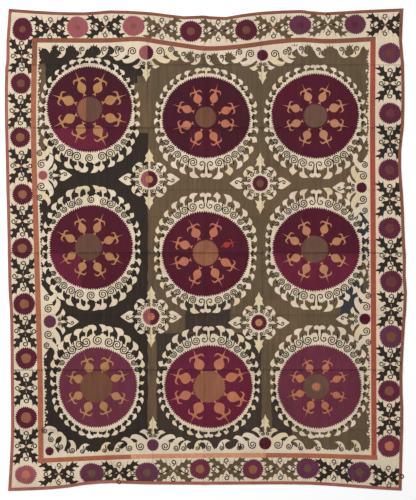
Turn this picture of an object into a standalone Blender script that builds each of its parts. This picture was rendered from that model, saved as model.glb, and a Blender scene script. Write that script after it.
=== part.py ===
"""A suzani: three loom widths of embroidered cotton sewn side by side and bound all round.

It lies flat and face up. The outline wanders as a hand-sewn one does, and the marks of
having been stored folded stay in the cloth as low rounded ridges. Sizes are in metres,
+Y runs up the design, and the origin is on the surface that the cloth lies on, at the
middle of its outline.
"""
import math

import bpy

HALF_WIDTH = 1.207
HALF_LENGTH = 1.4485
CLOTH_THICKNESS = 0.0020
BINDING_THICKNESS = 0.0028
BINDING_WIDTH = 0.019
GAP = 0.0003
END_MARGIN = 0.08
SEAM_MARGIN = 0.03
RIDGE_HALF_WIDTH = 0.034
STATION_SPACING = 0.12

# How far each edge of the cloth lies inside the full rectangle: (place along the edge, inset).
TOP_EDGE = (
    (-1.20, 0.002), (-0.93, 0.020), (-0.71, 0.024), (-0.56, 0.013), (-0.33, 0.024),
    (-0.12, 0.049), (-0.02, 0.044), (0.10, 0.054), (0.28, 0.026), (0.57, 0.011),
    (0.67, 0.025), (0.93, 0.012), (1.20, 0.000),
)
BOTTOM_EDGE = (
    (-1.20, 0.000), (-1.06, 0.004), (-0.87, 0.015), (-0.71, 0.039), (-0.56, 0.047),
    (-0.41, 0.041), (-0.03, 0.038), (0.59, 0.039), (0.81, 0.027), (0.99, 0.013),
    (1.20, 0.001),
)
LEFT_EDGE = (
    (-1.45, 0.020), (-1.29, 0.030), (-1.08, 0.038), (-0.75, 0.036), (-0.39, 0.032),
    (-0.24, 0.023), (0.12, 0.016), (0.36, 0.010), (0.60, 0.005), (0.86, 0.000),
    (1.09, 0.003), (1.13, 0.009), (1.32, 0.012), (1.45, 0.025),
)
RIGHT_EDGE = (
    (-1.45, 0.033), (-1.14, 0.025), (-0.96, 0.022), (-0.78, 0.028), (-0.45, 0.012),
    (-0.28, 0.000), (-0.17, 0.008), (-0.08, 0.006), (0.06, 0.013), (0.27, 0.020),
    (0.44, 0.032), (0.57, 0.036), (0.78, 0.017), (1.11, 0.018), (1.23, 0.030),
    (1.45, 0.022),
)

# The two seams, each a line that drifts sideways: (place up the cloth, place across).
LEFT_SEAM = ((-1.45, -0.317), (-0.80, -0.325), (0.00, -0.341), (1.45, -0.352))
RIGHT_SEAM = ((-1.45, 0.352), (0.00, 0.341), (1.45, 0.331))

# Storage folds: (place of the line, height of its ridge).
FOLDS_ACROSS = (
    (1.108, 0.0022), (0.730, 0.0034), (0.358, 0.0020), (-0.020, 0.0036),
    (-0.392, 0.0020), (-0.722, 0.0032), (-1.082, 0.0020),
)
FOLDS_LENGTHWISE = ((-0.599, 0.0026), (-0.011, 0.0032), (0.577, 0.0026))

CLOTH_FINISH = {"color": (0.115, 0.030, 0.035), "roughness": 0.85, "metallic": 0.0}
BINDING_FINISH = {"color": (0.385, 0.108, 0.058), "roughness": 0.80, "metallic": 0.0}


def read_smoothly(table, place):
    """Value of a two-column table at a place, on a curve through its rows."""
    place = min(max(place, table[0][0]), table[-1][0])
    row = 0
    while row < len(table) - 2 and place > table[row + 1][0]:
        row += 1

    def slope(index):
        before, after = table[max(index - 1, 0)], table[min(index + 1, len(table) - 1)]
        return (after[1] - before[1]) / (after[0] - before[0])

    (start, low), (end, high) = table[row], table[row + 1]
    span = end - start
    t = (place - start) / span
    return (
        low * (1 + 2 * t) * (1 - t) ** 2
        + high * t * t * (3 - 2 * t)
        + slope(row) * span * t * (1 - t) ** 2
        - slope(row + 1) * span * t * t * (1 - t)
    )


def top_line(inset):
    return lambda across: HALF_LENGTH - read_smoothly(TOP_EDGE, across) - inset


def bottom_line(inset):
    return lambda across: -HALF_LENGTH + read_smoothly(BOTTOM_EDGE, across) + inset


def left_line(inset):
    return lambda up: -HALF_WIDTH + read_smoothly(LEFT_EDGE, up) + inset


def right_line(inset):
    return lambda up: HALF_WIDTH - read_smoothly(RIGHT_EDGE, up) - inset


def seam_line(table, offset):
    return lambda up: read_smoothly(table, up) + offset


def straight_line(place):
    return lambda along: place


def ridge_height(x, y):
    """Height of the cloth's underside above the surface: zero away from the folds."""
    height = 0.0
    for place, folds in ((y, FOLDS_ACROSS), (x, FOLDS_LENGTHWISE)):
        for line, ridge in folds:
            reach = abs(place - line) / RIDGE_HALF_WIDTH
            if reach < 1.0:
                height = max(height, ridge * (0.5 + 0.5 * math.cos(math.pi * reach)))
    return height


def fold_stations(folds, low, high):
    """Places between two ends: five across each fold and even steps on the flat between."""
    marks = {low, high}
    for line, _ in folds:
        for share in (-1.0, -0.5, 0.0, 0.5, 1.0):
            place = line + share * RIDGE_HALF_WIDTH
            if low < place < high:
                marks.add(place)
    ordered = sorted(marks)
    stations = [ordered[0]]
    for before, after in zip(ordered, ordered[1:]):
        steps = max(1, math.ceil((after - before) / STATION_SPACING - 1e-6))
        stations += [before + (after - before) * step / steps for step in range(1, steps + 1)]
    return stations


def crossing(column, row, guess):
    """Point where a line up the cloth meets a line across it."""
    x = guess
    for _ in range(6):
        y = row(x)
        x = column(y)
    return x, y


def sheet_solid(name, columns, rows, thickness, finish):
    """A closed sheet over the grid of crossings of its columns and rows."""
    points = []
    for row in rows:
        for column in columns:
            x, y = crossing(column, row, column(0.0))
            points.append((x, y, ridge_height(x, y)))
    wide, tall = len(columns), len(rows)
    count = wide * tall
    verts = points + [(x, y, z + thickness) for x, y, z in points]
    faces = []
    for j in range(tall - 1):
        for i in range(wide - 1):
            a = j * wide + i
            b, c, d = a + 1, a + wide + 1, a + wide
            faces.append((a, d, c, b))
            faces.append((count + a, count + b, count + c, count + d))
    rim = list(range(wide))
    rim += [j * wide + wide - 1 for j in range(1, tall)]
    rim += [(tall - 1) * wide + i for i in range(wide - 2, -1, -1)]
    rim += [j * wide for j in range(tall - 2, 0, -1)]
    for here, there in zip(rim, rim[1:] + rim[:1]):
        faces.append((here, there, count + there, count + here))
    mesh = bpy.data.meshes.new(name)
    mesh.from_pydata(verts, [], faces)
    mesh.validate()
    sheet = bpy.data.objects.new(name, mesh)
    bpy.context.scene.collection.objects.link(sheet)
    mesh.materials.append(make_material(name, finish))
    return sheet


def make_material(name, finish):
    material = bpy.data.materials.new(name)
    material.use_nodes = True
    shader = material.node_tree.nodes["Principled BSDF"]
    shader.inputs["Base Color"].default_value = (*finish["color"], 1.0)
    shader.inputs["Roughness"].default_value = finish["roughness"]
    shader.inputs["Metallic"].default_value = finish["metallic"]
    return material


def inner_lines(stations):
    """Straight lines at the stations between the two ends."""
    return [straight_line(place) for place in stations[1:-1]]


def make_cloth():
    """The three panels and the binding round them, over one shared set of lines."""
    edge = BINDING_WIDTH + GAP
    half = GAP / 2
    rows = inner_lines(
        fold_stations(FOLDS_ACROSS, -HALF_LENGTH + END_MARGIN, HALF_LENGTH - END_MARGIN)
    )
    rows = [bottom_line(edge)] + rows + [top_line(edge)]
    seams = (seam_line(LEFT_SEAM, 0.0), seam_line(RIGHT_SEAM, 0.0))
    left_seam, right_seam = (seam(0.0) for seam in seams)
    panels = {
        "left": (left_line(edge), seam_line(LEFT_SEAM, -half), -HALF_WIDTH, left_seam),
        "middle": (seam_line(LEFT_SEAM, half), seam_line(RIGHT_SEAM, -half), left_seam, right_seam),
        "right": (seam_line(RIGHT_SEAM, half), right_line(edge), right_seam, HALF_WIDTH),
    }
    inner_columns = {}
    for side, (first, last, low, high) in panels.items():
        margin_low = END_MARGIN if side == "left" else SEAM_MARGIN
        margin_high = END_MARGIN if side == "right" else SEAM_MARGIN
        stations = fold_stations(FOLDS_LENGTHWISE, low + margin_low, high - margin_high)
        inner_columns[side] = [straight_line(place) for place in stations]
        sheet_solid(
            f"panel_{side}", [first] + inner_columns[side] + [last], rows,
            CLOTH_THICKNESS, CLOTH_FINISH,
        )

    whole_width = (
        [left_line(0.0), left_line(edge)] + inner_columns["left"] + [seams[0]]
        + inner_columns["middle"] + [seams[1]] + inner_columns["right"]
        + [right_line(edge), right_line(0.0)]
    )
    strips = {
        "top": (whole_width, [top_line(BINDING_WIDTH), top_line(0.0)]),
        "bottom": (whole_width, [bottom_line(0.0), bottom_line(BINDING_WIDTH)]),
        "left": ([left_line(0.0), left_line(BINDING_WIDTH)], rows),
        "right": ([right_line(BINDING_WIDTH), right_line(0.0)], rows),
    }
    for side, (columns, lines) in strips.items():
        sheet_solid(f"binding_{side}", columns, lines, BINDING_THICKNESS, BINDING_FINISH)


def main():
    for old in list(bpy.data.objects):
        bpy.data.objects.remove(old)
    make_cloth()


main()
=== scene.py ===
"""A suzani: nine crimson medallions on a dark field, inside a cream border of rosettes.

The cloth is three loom widths of cotton, covered all over in laid silk stitching, laced
together along two seams and bound at the edge. Each width is one closed sheet whose top is
divided along the outlines of its motifs, so that a motif's edge is an edge of the mesh.
Lengths are in metres unless a name ends in _mm. +Y runs up the design.
"""
import math
import random

import bmesh
import bpy
import numpy as np
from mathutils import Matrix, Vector, noise
from mathutils.geometry import delaunay_2d_cdt


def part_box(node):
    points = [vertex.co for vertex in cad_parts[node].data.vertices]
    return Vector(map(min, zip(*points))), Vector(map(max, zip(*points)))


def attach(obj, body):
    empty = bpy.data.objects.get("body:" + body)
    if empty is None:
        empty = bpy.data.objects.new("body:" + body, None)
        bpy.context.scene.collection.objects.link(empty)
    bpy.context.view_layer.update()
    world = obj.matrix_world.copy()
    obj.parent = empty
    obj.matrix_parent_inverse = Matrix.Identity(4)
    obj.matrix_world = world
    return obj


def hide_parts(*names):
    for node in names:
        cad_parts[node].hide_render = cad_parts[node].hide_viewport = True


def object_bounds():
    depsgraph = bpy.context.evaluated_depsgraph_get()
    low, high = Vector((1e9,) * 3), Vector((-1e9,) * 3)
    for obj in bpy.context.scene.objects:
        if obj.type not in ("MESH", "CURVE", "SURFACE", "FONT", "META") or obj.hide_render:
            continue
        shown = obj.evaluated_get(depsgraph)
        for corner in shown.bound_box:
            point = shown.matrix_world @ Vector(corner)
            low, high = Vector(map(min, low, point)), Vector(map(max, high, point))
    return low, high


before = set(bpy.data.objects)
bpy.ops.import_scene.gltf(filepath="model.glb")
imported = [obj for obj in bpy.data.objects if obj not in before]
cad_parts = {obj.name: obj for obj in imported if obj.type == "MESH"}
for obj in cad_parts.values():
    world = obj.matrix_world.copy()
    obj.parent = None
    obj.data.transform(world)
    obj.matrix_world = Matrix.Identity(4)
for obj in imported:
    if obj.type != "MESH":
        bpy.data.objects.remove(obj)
CAD_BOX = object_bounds()

bl_info = {
    "name": "Suzani",
    "version": (1, 0, 0),
    "blender": (4, 5, 0),
    "location": "View3D > Sidebar > Suzani",
    "description": "An embroidered suzani, laid flat, with its panels, thread work and binding",
    "category": "Add Mesh",
}

MM = 0.001
TURN = 2 * math.pi
QUARTER = math.pi / 2
PANELS = ("panel_left", "panel_middle", "panel_right")
BINDINGS = ("binding_top", "binding_bottom", "binding_left", "binding_right")
DARK_BINDINGS = ("binding_top", "binding_right")

# Fixed seeds: where the hand strays in the design, and how the sewing stitches lean.
DESIGN_SEED = 20
STITCH_SEED = 3

# Step between points along folds, seams and bindings, and the least angle that stays sharp.
PATH_STEP = 0.012
SHARP_EDGE = math.radians(60)

# For dividing a sheet: triangles over the whole hull, and points this close are one.
WHOLE_HULL = 0
SMALLEST_GAP = 1e-6

# Lacing stitches: radians that they slant from the seam, and their height above the cloth.
LACING_SLANT = 1.2
LACING_LIFT = 0.2 * MM

# Storage folds: (place of the line, height of its ridge, how dark the painted shade along its line is).
FOLDS_ACROSS = (
    (1.108, 0.0022, 0.5), (0.730, 0.0034, 1.0), (0.358, 0.0020, 0.4), (-0.020, 0.0036, 1.0),
    (-0.392, 0.0020, 0.4), (-0.722, 0.0032, 1.0), (-1.082, 0.0020, 0.4),
)
FOLDS_LENGTHWISE = ((-0.599, 0.0026, 0.25), (-0.011, 0.0032, 0.4), (0.577, 0.0026, 0.25))

# Half width of a fold's ridge and of the painted shade along its line, the rows of points that
# follow a fold on the face and on the back (as shares of the half width), and the even steps over the
# back.
FOLD_REACH = 0.034
CREASE_SHADE_REACH = 0.005
CREASE_ROWS = (-0.006, 0.0, 0.006)
FOLD_SHARES = (-1.0, -0.5, 0.0, 0.5, 1.0)
BACK_STEPS = 24

# How far the stitched face lies below the cloth's full thickness where it is sewn down, and
# how clear of a panel's edge its loose points keep, so that no sliver forms along it.
SEWN_DOWN = 0.2 * MM
EDGE_CLEARANCE = 3.0 * MM

# Curled lines: height of their middle above the cloth and how flat the thread lies.
LINE_LIFT = 0.3 * MM
LINE_FLATNESS = 0.35

# Medallions: centre x, y, half width, half height, reach of the cream ring at its top and
# bottom, the middle disc's shift x, y and radius, the dyes of the disc and the fruit, and how
# large the fruit are.
MEDALLIONS = (
    (-0.698, 0.842, 0.262, 0.262, 0.017, 0.068, 0.000, 0.000, 0.074, "umber", "tan", 1.06),
    (0.002, 0.794, 0.270, 0.250, 0.017, 0.072, -0.004, 0.000, 0.062, "chestnut", "salmon", 0.96),
    (0.656, 0.802, 0.268, 0.260, 0.017, 0.070, 0.000, 0.000, 0.070, "drab", "peach", 0.94),
    (-0.688, 0.014, 0.256, 0.258, 0.062, 0.070, -0.016, 0.002, 0.080, "umber", "tan", 0.94),
    (-0.002, -0.026, 0.268, 0.260, 0.068, 0.056, 0.000, 0.006, 0.076, "russet", "salmon", 1.00),
    (0.662, 0.002, 0.268, 0.256, 0.064, 0.068, -0.010, 0.000, 0.080, "drab", "peach", 0.94),
    (-0.648, -0.826, 0.240, 0.246, 0.080, 0.024, -0.010, 0.004, 0.095, "chestnut", "tan", 0.94),
    (0.016, -0.822, 0.270, 0.254, 0.068, 0.020, 0.004, 0.000, 0.094, "russet", "salmon", 1.16),
    (0.682, -0.822, 0.258, 0.256, 0.072, 0.020, -0.020, 0.000, 0.076, "drab", "salmon", 0.86),
)

# Stars between the medallions: centre x, y, disc radius, dye to the left of a seam and to the
# right of it, middle dye.
STARS = (
    (-0.340, 0.422, 0.054, "rose", "crimson", "tan"),
    (0.326, 0.398, 0.050, "plum", "crimson", "chestnut"),
    (-0.328, -0.402, 0.054, "rose", "plum", "salmon"),
    (0.318, -0.438, 0.050, "plum", "plum", "tan"),
)

# Half stars that grow out of the inner stripe: centre x, y, disc radius, the way they point in
# quarter turns from +X, dye to the left of a seam, dye to the right of it.
HALF_STARS = (
    (-0.978, 0.446, 0.030, 0, "rose", "rose"),
    (-0.936, -0.432, 0.040, 0, "lilac", "lilac"),
    (0.934, 0.372, 0.034, 2, "crimson", "crimson"),
    (0.954, -0.416, 0.036, 2, "crimson", "crimson"),
    (-0.358, 1.182, 0.046, 3, "rose", "crimson"),
    (0.340, 1.166, 0.036, 3, "plum", "crimson"),
    (-0.318, -1.172, 0.038, 1, "lilac", "lilac"),
    (0.356, -1.162, 0.040, 1, "crimson", "crimson"),
    (-0.938, -1.209, 0.028, 0, "plum", "lilac"),
)

# Where the fruit stand, as a share of the medallion's half size, round a middle disc of the
# usual radius; the rim and the teeth of that disc; and the three odd ones out: the scarlet
# fruit (medallion, fruit) and its size, the disc that is half russet, and the disc with an eye.
FRUIT_REACH = 0.50
MIDDLE_DISC = 0.074
MIDDLE_RIM = 0.005
MIDDLE_TEETH = 0.009
SCARLET_FRUIT = (4, 0)
SCARLET_SIZE = 0.72
HALF_RUSSET_DISC = 0
SALMON_EYE_DISC = 8

# Teeth along a medallion's cream ring, the reach above which its end has curls, how deep in the
# ring a hook's foot stands, and the place across up to which the ends are leaning leaves.
RING_TEETH = 150
DEEP_RING = 0.04
FOOT_DEPTH = 0.008
LEFT_COLUMN = -0.5

# Length of a star's arms and of a half star's, the radius up to which a half star is a plain
# disc, and how clear of a half star the waves of the field's edge keep.
STAR_ARM = 0.185
HALF_STAR_ARM = 0.175
SMALLEST_HALF_STAR = 0.029
CLEAR_OF_HALF_STARS = 0.165

# Rosettes of the border, in order round the cloth from the top left corner:
# centre x, y, half width, half height, dye, dye of the middle, radius of the middle.
ROSETTES = (
    (-1.100, 1.322, 0.058, 0.066, "plum", "chestnut", 0.022),
    (-0.770, 1.334, 0.062, 0.062, "rose", "rosewood", 0.018),
    (-0.434, 1.342, 0.064, 0.058, "rose", "rosewood", 0.020),
    (-0.090, 1.310, 0.064, 0.060, "plum", "chestnut", 0.026),
    (0.242, 1.318, 0.064, 0.060, "plum", "chestnut", 0.026),
    (0.566, 1.348, 0.064, 0.056, "lilac", "plum_worn", 0.022),
    (0.896, 1.352, 0.062, 0.056, "lilac", "plum_worn", 0.022),
    (1.102, 1.178, 0.064, 0.060, "lilac", "garnet", 0.028),
    (1.106, 0.818, 0.064, 0.060, "plum_worn", "garnet", 0.028),
    (1.102, 0.478, 0.064, 0.062, "plum_worn", "garnet", 0.030),
    (1.102, 0.128, 0.064, 0.062, "plum_worn", "garnet", 0.030),
    (1.112, -0.192, 0.064, 0.064, "plum_worn", "garnet", 0.034),
    (1.112, -0.522, 0.066, 0.066, "lilac", "chestnut", 0.032),
    (1.100, -0.848, 0.064, 0.062, "plum_worn", "rosewood", 0.030),
    (1.100, -1.178, 0.066, 0.064, "crimson_worn", "salmon", 0.030),
    (0.922, -1.336, 0.066, 0.060, "lilac", "drab", 0.026),
    (0.610, -1.312, 0.066, 0.060, "lilac", "drab", 0.026),
    (0.282, -1.318, 0.060, 0.058, "crimson_worn", "russet", 0.028),
    (-0.034, -1.316, 0.060, 0.058, "crimson_worn", "russet", 0.028),
    (-0.354, -1.338, 0.068, 0.058, "lilac", "drab", 0.026),
    (-0.684, -1.342, 0.070, 0.058, "lilac", "drab", 0.026),
    (-1.080, -1.350, 0.062, 0.054, "rose", "salmon", 0.028),
    (-1.078, -1.008, 0.062, 0.062, "plum", "russet", 0.034),
    (-1.078, -0.652, 0.062, 0.062, "plum", "russet", 0.032),
    (-1.090, -0.326, 0.062, 0.062, "plum", "russet", 0.030),
    (-1.102, 0.008, 0.060, 0.060, "plum", "russet", 0.030),
    (-1.100, 0.332, 0.058, 0.060, "plum", "russet", 0.028),
    (-1.114, 0.674, 0.058, 0.058, "plum", "russet", 0.028),
    (-1.110, 0.998, 0.058, 0.060, "plum", "chestnut", 0.026),
)

# Leaf crosses of the border: two at corners, the least gap between rosettes that has one, the
# width of a leaf, and the run across in which they are worked in olive rather than charcoal.
CORNER_CROSSES = ((1.076, 1.348), (1.096, -1.362))
CROSS_GAP = 0.30
CROSS_LEAF_WIDTH = 0.058
OLIVE_CROSSES = (-0.28, 0.74)

# Middle line of the inner stripe on each side: (place along the side, place of the line).
STRIPE_LINES = {
    "left": ((-1.28, -0.989), (-0.75, -0.995), (0.00, -1.016), (0.75, -1.034), (1.28, -1.026)),
    "right": ((-1.28, 1.009), (-0.75, 1.007), (0.00, 1.004), (0.75, 1.000), (1.28, 1.003)),
    "top": (
        (-1.04, 1.256), (-0.60, 1.255), (-0.40, 1.264), (-0.28, 1.246), (-0.12, 1.222),
        (0.01, 1.206), (0.21, 1.219), (0.41, 1.246), (0.57, 1.258), (0.73, 1.250),
        (1.02, 1.264),
    ),
    "bottom": ((-1.00, -1.266), (-0.50, -1.244), (0.00, -1.235), (0.57, -1.235), (1.02, -1.248)),
}
STRIPE_HALF_WIDTH = {"left": 0.016, "right": 0.016, "top": 0.014, "bottom": 0.014}

# Cream left between the stripe and the dark field on each side, and how deep the field's bays
# are.
FIELD_GAPS = {
    "left": (0.005, 0.007), "right": (0.005, 0.007), "top": (0.024, 0.032),
    "bottom": (0.020, 0.026),
}

# The dark field's edge: its left, right, bottom and top, the pitch of its small teeth, the step
# in which the bays are looked for, the pitch of the fins at its sides, the runs along which
# waves or fins stand, and the way inwards from each side.
FIELD_CORNERS = (-0.985, 0.985, -1.225, 1.235)
FIELD_TOOTH_PITCH = 0.009
WAVE_SEARCH_STEP = 0.004
EDGE_RUNS = {"upright": (-1.17, 1.17), "level": (-0.93, 0.93)}
INWARD = {"left": 0.0, "right": math.pi, "top": -QUARTER, "bottom": QUARTER}
SIDE_FIN_PITCH = 0.066

# Dye lots of the stripe: side, from, to, dye.
STRIPE_LOTS = (
    ("left", 1.10, 1.268, "brick"), ("left", -1.278, 1.10, "terracotta"),
    ("right", -1.26, 1.276, "madder"),
    ("top", -1.04, 1.018, "brick"),
    ("bottom", -1.01, -0.45, "terracotta"), ("bottom", -0.45, 0.36, "pale_peach"),
    ("bottom", 0.36, 1.03, "terracotta"),
)

# Dye lots of the field, laid on in upright bands: left, right, bottom, top, dye. The field is
# charcoal to the left of one line.
CHARCOAL_EDGE = -0.348
FIELD_LOTS = (
    (-1.05, CHARCOAL_EDGE, -1.30, 1.30, "charcoal"),
    (-1.04, -0.962, 0.585, 1.115, "olive"),
    (-0.412, -0.330, 0.70, 1.04, "olive"),
    (-0.430, -0.330, 0.735, 1.00, "olive_warm"),
    (-0.334, 0.330, 0.20, 0.60, "olive_warm"),
    (-0.334, 0.345, -0.300, 0.20, "olive"),
    (-0.125, 0.145, -0.500, -0.300, "charcoal_soft"),
    (-0.315, 0.335, -1.30, -0.500, "charcoal_soft"),
    (-0.330, -0.296, -1.02, -0.440, "olive_warm"),
    (0.336, 0.385, -1.08, -0.520, "olive"),
    (0.395, 0.52, -1.26, -0.860, "charcoal_soft"),
    (0.805, 0.945, -0.390, -0.200, "charcoal_blue"),
    (0.925, 0.985, -0.06, 0.220, "charcoal_blue"),
    (0.36, 0.95, 0.22, 0.50, "olive_warm"),
    (0.345, 0.62, -0.56, -0.300, "olive_warm"),
)


# Step between the points of a dye lot's edge, and how far they stray.
LOT_STEP = 0.03
LOT_WAVER = 4.0 * MM

# Dye lots of the medallions: which medallion, left, right, bottom, top from its middle, dye.
CRIMSON_LOTS = (
    (0, -0.27, 0.27, 0.060, 0.27, "crimson_deep"),
    (0, -0.25, 0.10, -0.24, -0.11, "crimson_bright"),
    (1, -0.28, 0.28, -0.27, 0.27, "crimson_deep"),
    (1, -0.10, 0.08, -0.24, -0.06, "crimson"),
    (3, -0.26, -0.06, -0.24, -0.03, "crimson_bright"),
    (5, -0.28, 0.28, -0.27, -0.02, "crimson_bright"),
    (6, -0.25, 0.25, -0.26, 0.26, "crimson_worn"),
    (7, -0.28, 0.28, -0.27, 0.27, "crimson_bright"),
    (8, -0.27, 0.27, -0.27, 0.27, "crimson_worn"),
)

# Outlines, in shares of the motif's size: (across, outwards, is it a sharp corner).
FIN = (
    (-0.14, -0.20, 1), (-0.09, 0.16, 0), (-0.15, 0.36, 0), (-0.46, 0.42, 1), (-0.50, 0.70, 0),
    (-0.24, 0.94, 0), (0.14, 1.00, 0), (0.62, 0.98, 1), (0.36, 0.76, 0), (0.13, 0.52, 0),
    (0.09, 0.16, 0), (0.15, -0.20, 1),
)
AXE = (
    (-0.15, -0.20, 1), (-0.09, 0.20, 0), (-0.38, 0.44, 1), (-0.38, 0.72, 0), (0.06, 1.06, 1),
    (0.30, 0.84, 0), (0.56, 0.60, 1), (0.22, 0.48, 0), (0.09, 0.20, 0), (0.15, -0.20, 1),
)
ANCHOR_HALF = (
    (0.20, -0.30, 1), (0.15, 0.26, 0), (0.26, 0.52, 0), (0.62, 0.48, 1), (0.80, 0.70, 0),
    (0.62, 0.96, 0), (0.22, 1.02, 0),
)
ARROW_HALF = (
    (0.09, 0.30, 0), (0.05, 0.42, 0), (0.04, 0.54, 0), (0.08, 0.58, 0), (0.18, 0.54, 1),
    (0.11, 0.70, 0), (0.14, 0.76, 1), (0.05, 0.88, 0),
)
SPADE_HALF = (
    (0.09, 0.30, 0), (0.05, 0.42, 0), (0.035, 0.56, 0), (0.06, 0.62, 0), (0.17, 0.57, 1),
    (0.20, 0.70, 0), (0.10, 0.87, 0),
)
TUFT = (
    (-0.72, -0.60, 1), (-0.62, 0.00, 0), (-1.00, 0.26, 1), (-0.60, 0.40, 0), (-0.64, 0.86, 1),
    (-0.28, 0.60, 0), (-0.10, 1.10, 1), (0.12, 0.62, 0), (0.50, 0.98, 1), (0.52, 0.46, 0),
    (0.98, 0.38, 1), (0.60, 0.02, 0), (0.72, -0.60, 1),
)
CROSS_LEAF = (
    (-0.05, 0.02, 1), (-0.17, 0.16, 0), (-0.40, 0.22, 0), (-0.52, 0.38, 1), (-0.20, 0.37, 0),
    (-0.19, 0.50, 0), (-0.44, 0.55, 0), (-0.62, 0.78, 1), (-0.28, 0.72, 0), (-0.22, 0.84, 0),
    (-0.42, 0.94, 0), (-0.46, 1.08, 1), (-0.12, 0.98, 0), (0.02, 1.14, 1), (0.10, 0.93, 0),
    (0.34, 0.91, 0), (0.50, 1.02, 1), (0.26, 0.76, 0), (0.19, 0.64, 0), (0.44, 0.56, 0),
    (0.62, 0.70, 1), (0.24, 0.46, 0), (0.17, 0.36, 0), (0.40, 0.28, 0), (0.52, 0.42, 1),
    (0.20, 0.18, 0), (0.05, 0.02, 1),
)
WAVE = (
    (-0.62, -0.30, 1), (-0.46, 0.06, 0), (-0.36, 0.44, 0), (-0.08, 0.80, 0), (0.34, 1.00, 0),
    (0.86, 0.90, 1), (0.52, 0.72, 0), (0.34, 0.44, 0), (0.40, 0.16, 0), (0.62, -0.04, 1),
    (0.66, -0.30, 1),
)
FRUIT = (
    (-0.14, -1.10, 1), (-0.62, -0.78, 0), (-0.98, -0.16, 0), (-0.84, 0.42, 0), (-0.42, 0.94, 0),
    (-0.22, 1.34, 0), (-0.62, 1.52, 0), (-1.06, 1.44, 0), (-1.42, 0.86, 1), (-1.36, 1.54, 0),
    (-0.98, 1.84, 0), (-0.46, 1.82, 0), (-0.13, 2.00, 0), (0.00, 3.40, 1), (0.13, 2.00, 0),
    (0.46, 1.82, 0), (0.98, 1.84, 0), (1.36, 1.54, 0), (1.42, 0.86, 1), (1.06, 1.44, 0),
    (0.62, 1.52, 0), (0.22, 1.34, 0), (0.42, 0.94, 0), (0.84, 0.42, 0), (0.98, -0.16, 0),
    (0.62, -0.78, 0), (0.14, -1.10, 1),
)
STALK = ((-0.07, -1.12, 1), (-0.42, -1.72, 1), (0.00, -1.60, 0), (0.42, -1.72, 1), (0.07, -1.12, 1))


def linear(hex_colour):
    """An sRGB hex colour as linear red, green and blue."""
    values = [int(hex_colour[place:place + 2], 16) / 255 for place in (1, 3, 5)]
    return tuple(v / 12.92 if v <= 0.04045 else ((v + 0.055) / 1.055) ** 2.4 for v in values)


# ---------------------------------------------------------------- settings

class SuzaniCloth(bpy.types.PropertyGroup):
    """Sizes of the cloth and of its laid stitching."""
    thickness: bpy.props.FloatProperty(
        name="Cloth thickness", description="Cotton ground with its stitching",
        default=2.0 * MM, unit="LENGTH")
    relief: bpy.props.FloatProperty(
        name="Stitch relief", description="How far a stitched motif stands above its outline",
        default=0.7 * MM, unit="LENGTH")
    mesh_step: bpy.props.FloatProperty(
        name="Mesh step", description="Distance between points inside the motifs",
        default=13.0 * MM, unit="LENGTH")


class SuzaniMotifs(bpy.types.PropertyGroup):
    """Sizes of the embroidered motifs."""
    tooth_pitch: bpy.props.FloatProperty(
        name="Tooth pitch", description="Distance between the teeth round a disc",
        default=14.0 * MM, unit="LENGTH")
    tooth_depth: bpy.props.FloatProperty(
        name="Tooth depth", description="Height of the teeth round a disc",
        default=12.0 * MM, unit="LENGTH")
    fruit_radius: bpy.props.FloatProperty(
        name="Fruit radius", description="Half width of a pomegranate's body",
        default=28.0 * MM, unit="LENGTH")
    fruit_count: bpy.props.IntProperty(
        name="Fruit per medallion", description="Pomegranates round each middle disc",
        default=8, min=3)
    ring_side: bpy.props.FloatProperty(
        name="Ring width at the sides", description="Width of a medallion's cream ring",
        default=10.0 * MM, unit="LENGTH")
    hook_count: bpy.props.IntProperty(
        name="Hooks per medallion", description="Cream leaves round each medallion",
        default=32, min=8)
    cross_reach: bpy.props.FloatProperty(
        name="Cross reach", description="Half length of a leaf cross along the border",
        default=104.0 * MM, unit="LENGTH")
    cross_width: bpy.props.FloatProperty(
        name="Cross half width", description="Half width of a leaf cross over the border",
        default=64.0 * MM, unit="LENGTH")


class SuzaniThread(bpy.types.PropertyGroup):
    """Sizes of the line stitching, the seams and the binding."""
    line_radius: bpy.props.FloatProperty(
        name="Line radius", description="Half width of a chain-stitched line",
        default=3.4 * MM, unit="LENGTH")
    line_step: bpy.props.FloatProperty(
        name="Line step", description="Length of one chain stitch",
        default=7.0 * MM, unit="LENGTH")
    seam_pitch: bpy.props.FloatProperty(
        name="Seam pitch", description="Distance between lacing stitches",
        default=8.0 * MM, unit="LENGTH")
    stitch_radius: bpy.props.FloatProperty(
        name="Stitch radius", description="Half thickness of the sewing thread",
        default=0.9 * MM, unit="LENGTH")
    lacing_length: bpy.props.FloatProperty(
        name="Lacing length", description="Length of a lacing stitch across a seam",
        default=9.0 * MM, unit="LENGTH")
    running_length: bpy.props.FloatProperty(
        name="Running stitch length", description="Length of a stitch that holds the binding",
        default=5.5 * MM, unit="LENGTH")
    binding_width: bpy.props.FloatProperty(
        name="Binding width", description="Width of the folded strip on the face",
        default=19.0 * MM, unit="LENGTH")
    binding_thickness: bpy.props.FloatProperty(
        name="Binding thickness", description="Thickness of the folded strip",
        default=2.8 * MM, unit="LENGTH")
    binding_pitch: bpy.props.FloatProperty(
        name="Binding pitch", description="Distance between running stitches",
        default=11.0 * MM, unit="LENGTH")


def dye_setting(label, description, hex_colour):
    """A colour setting, from an sRGB hex colour."""
    return bpy.props.FloatVectorProperty(
        name=label, description=description, default=linear(hex_colour), size=3,
        min=0.0, max=1.0, subtype="COLOR")


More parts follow.
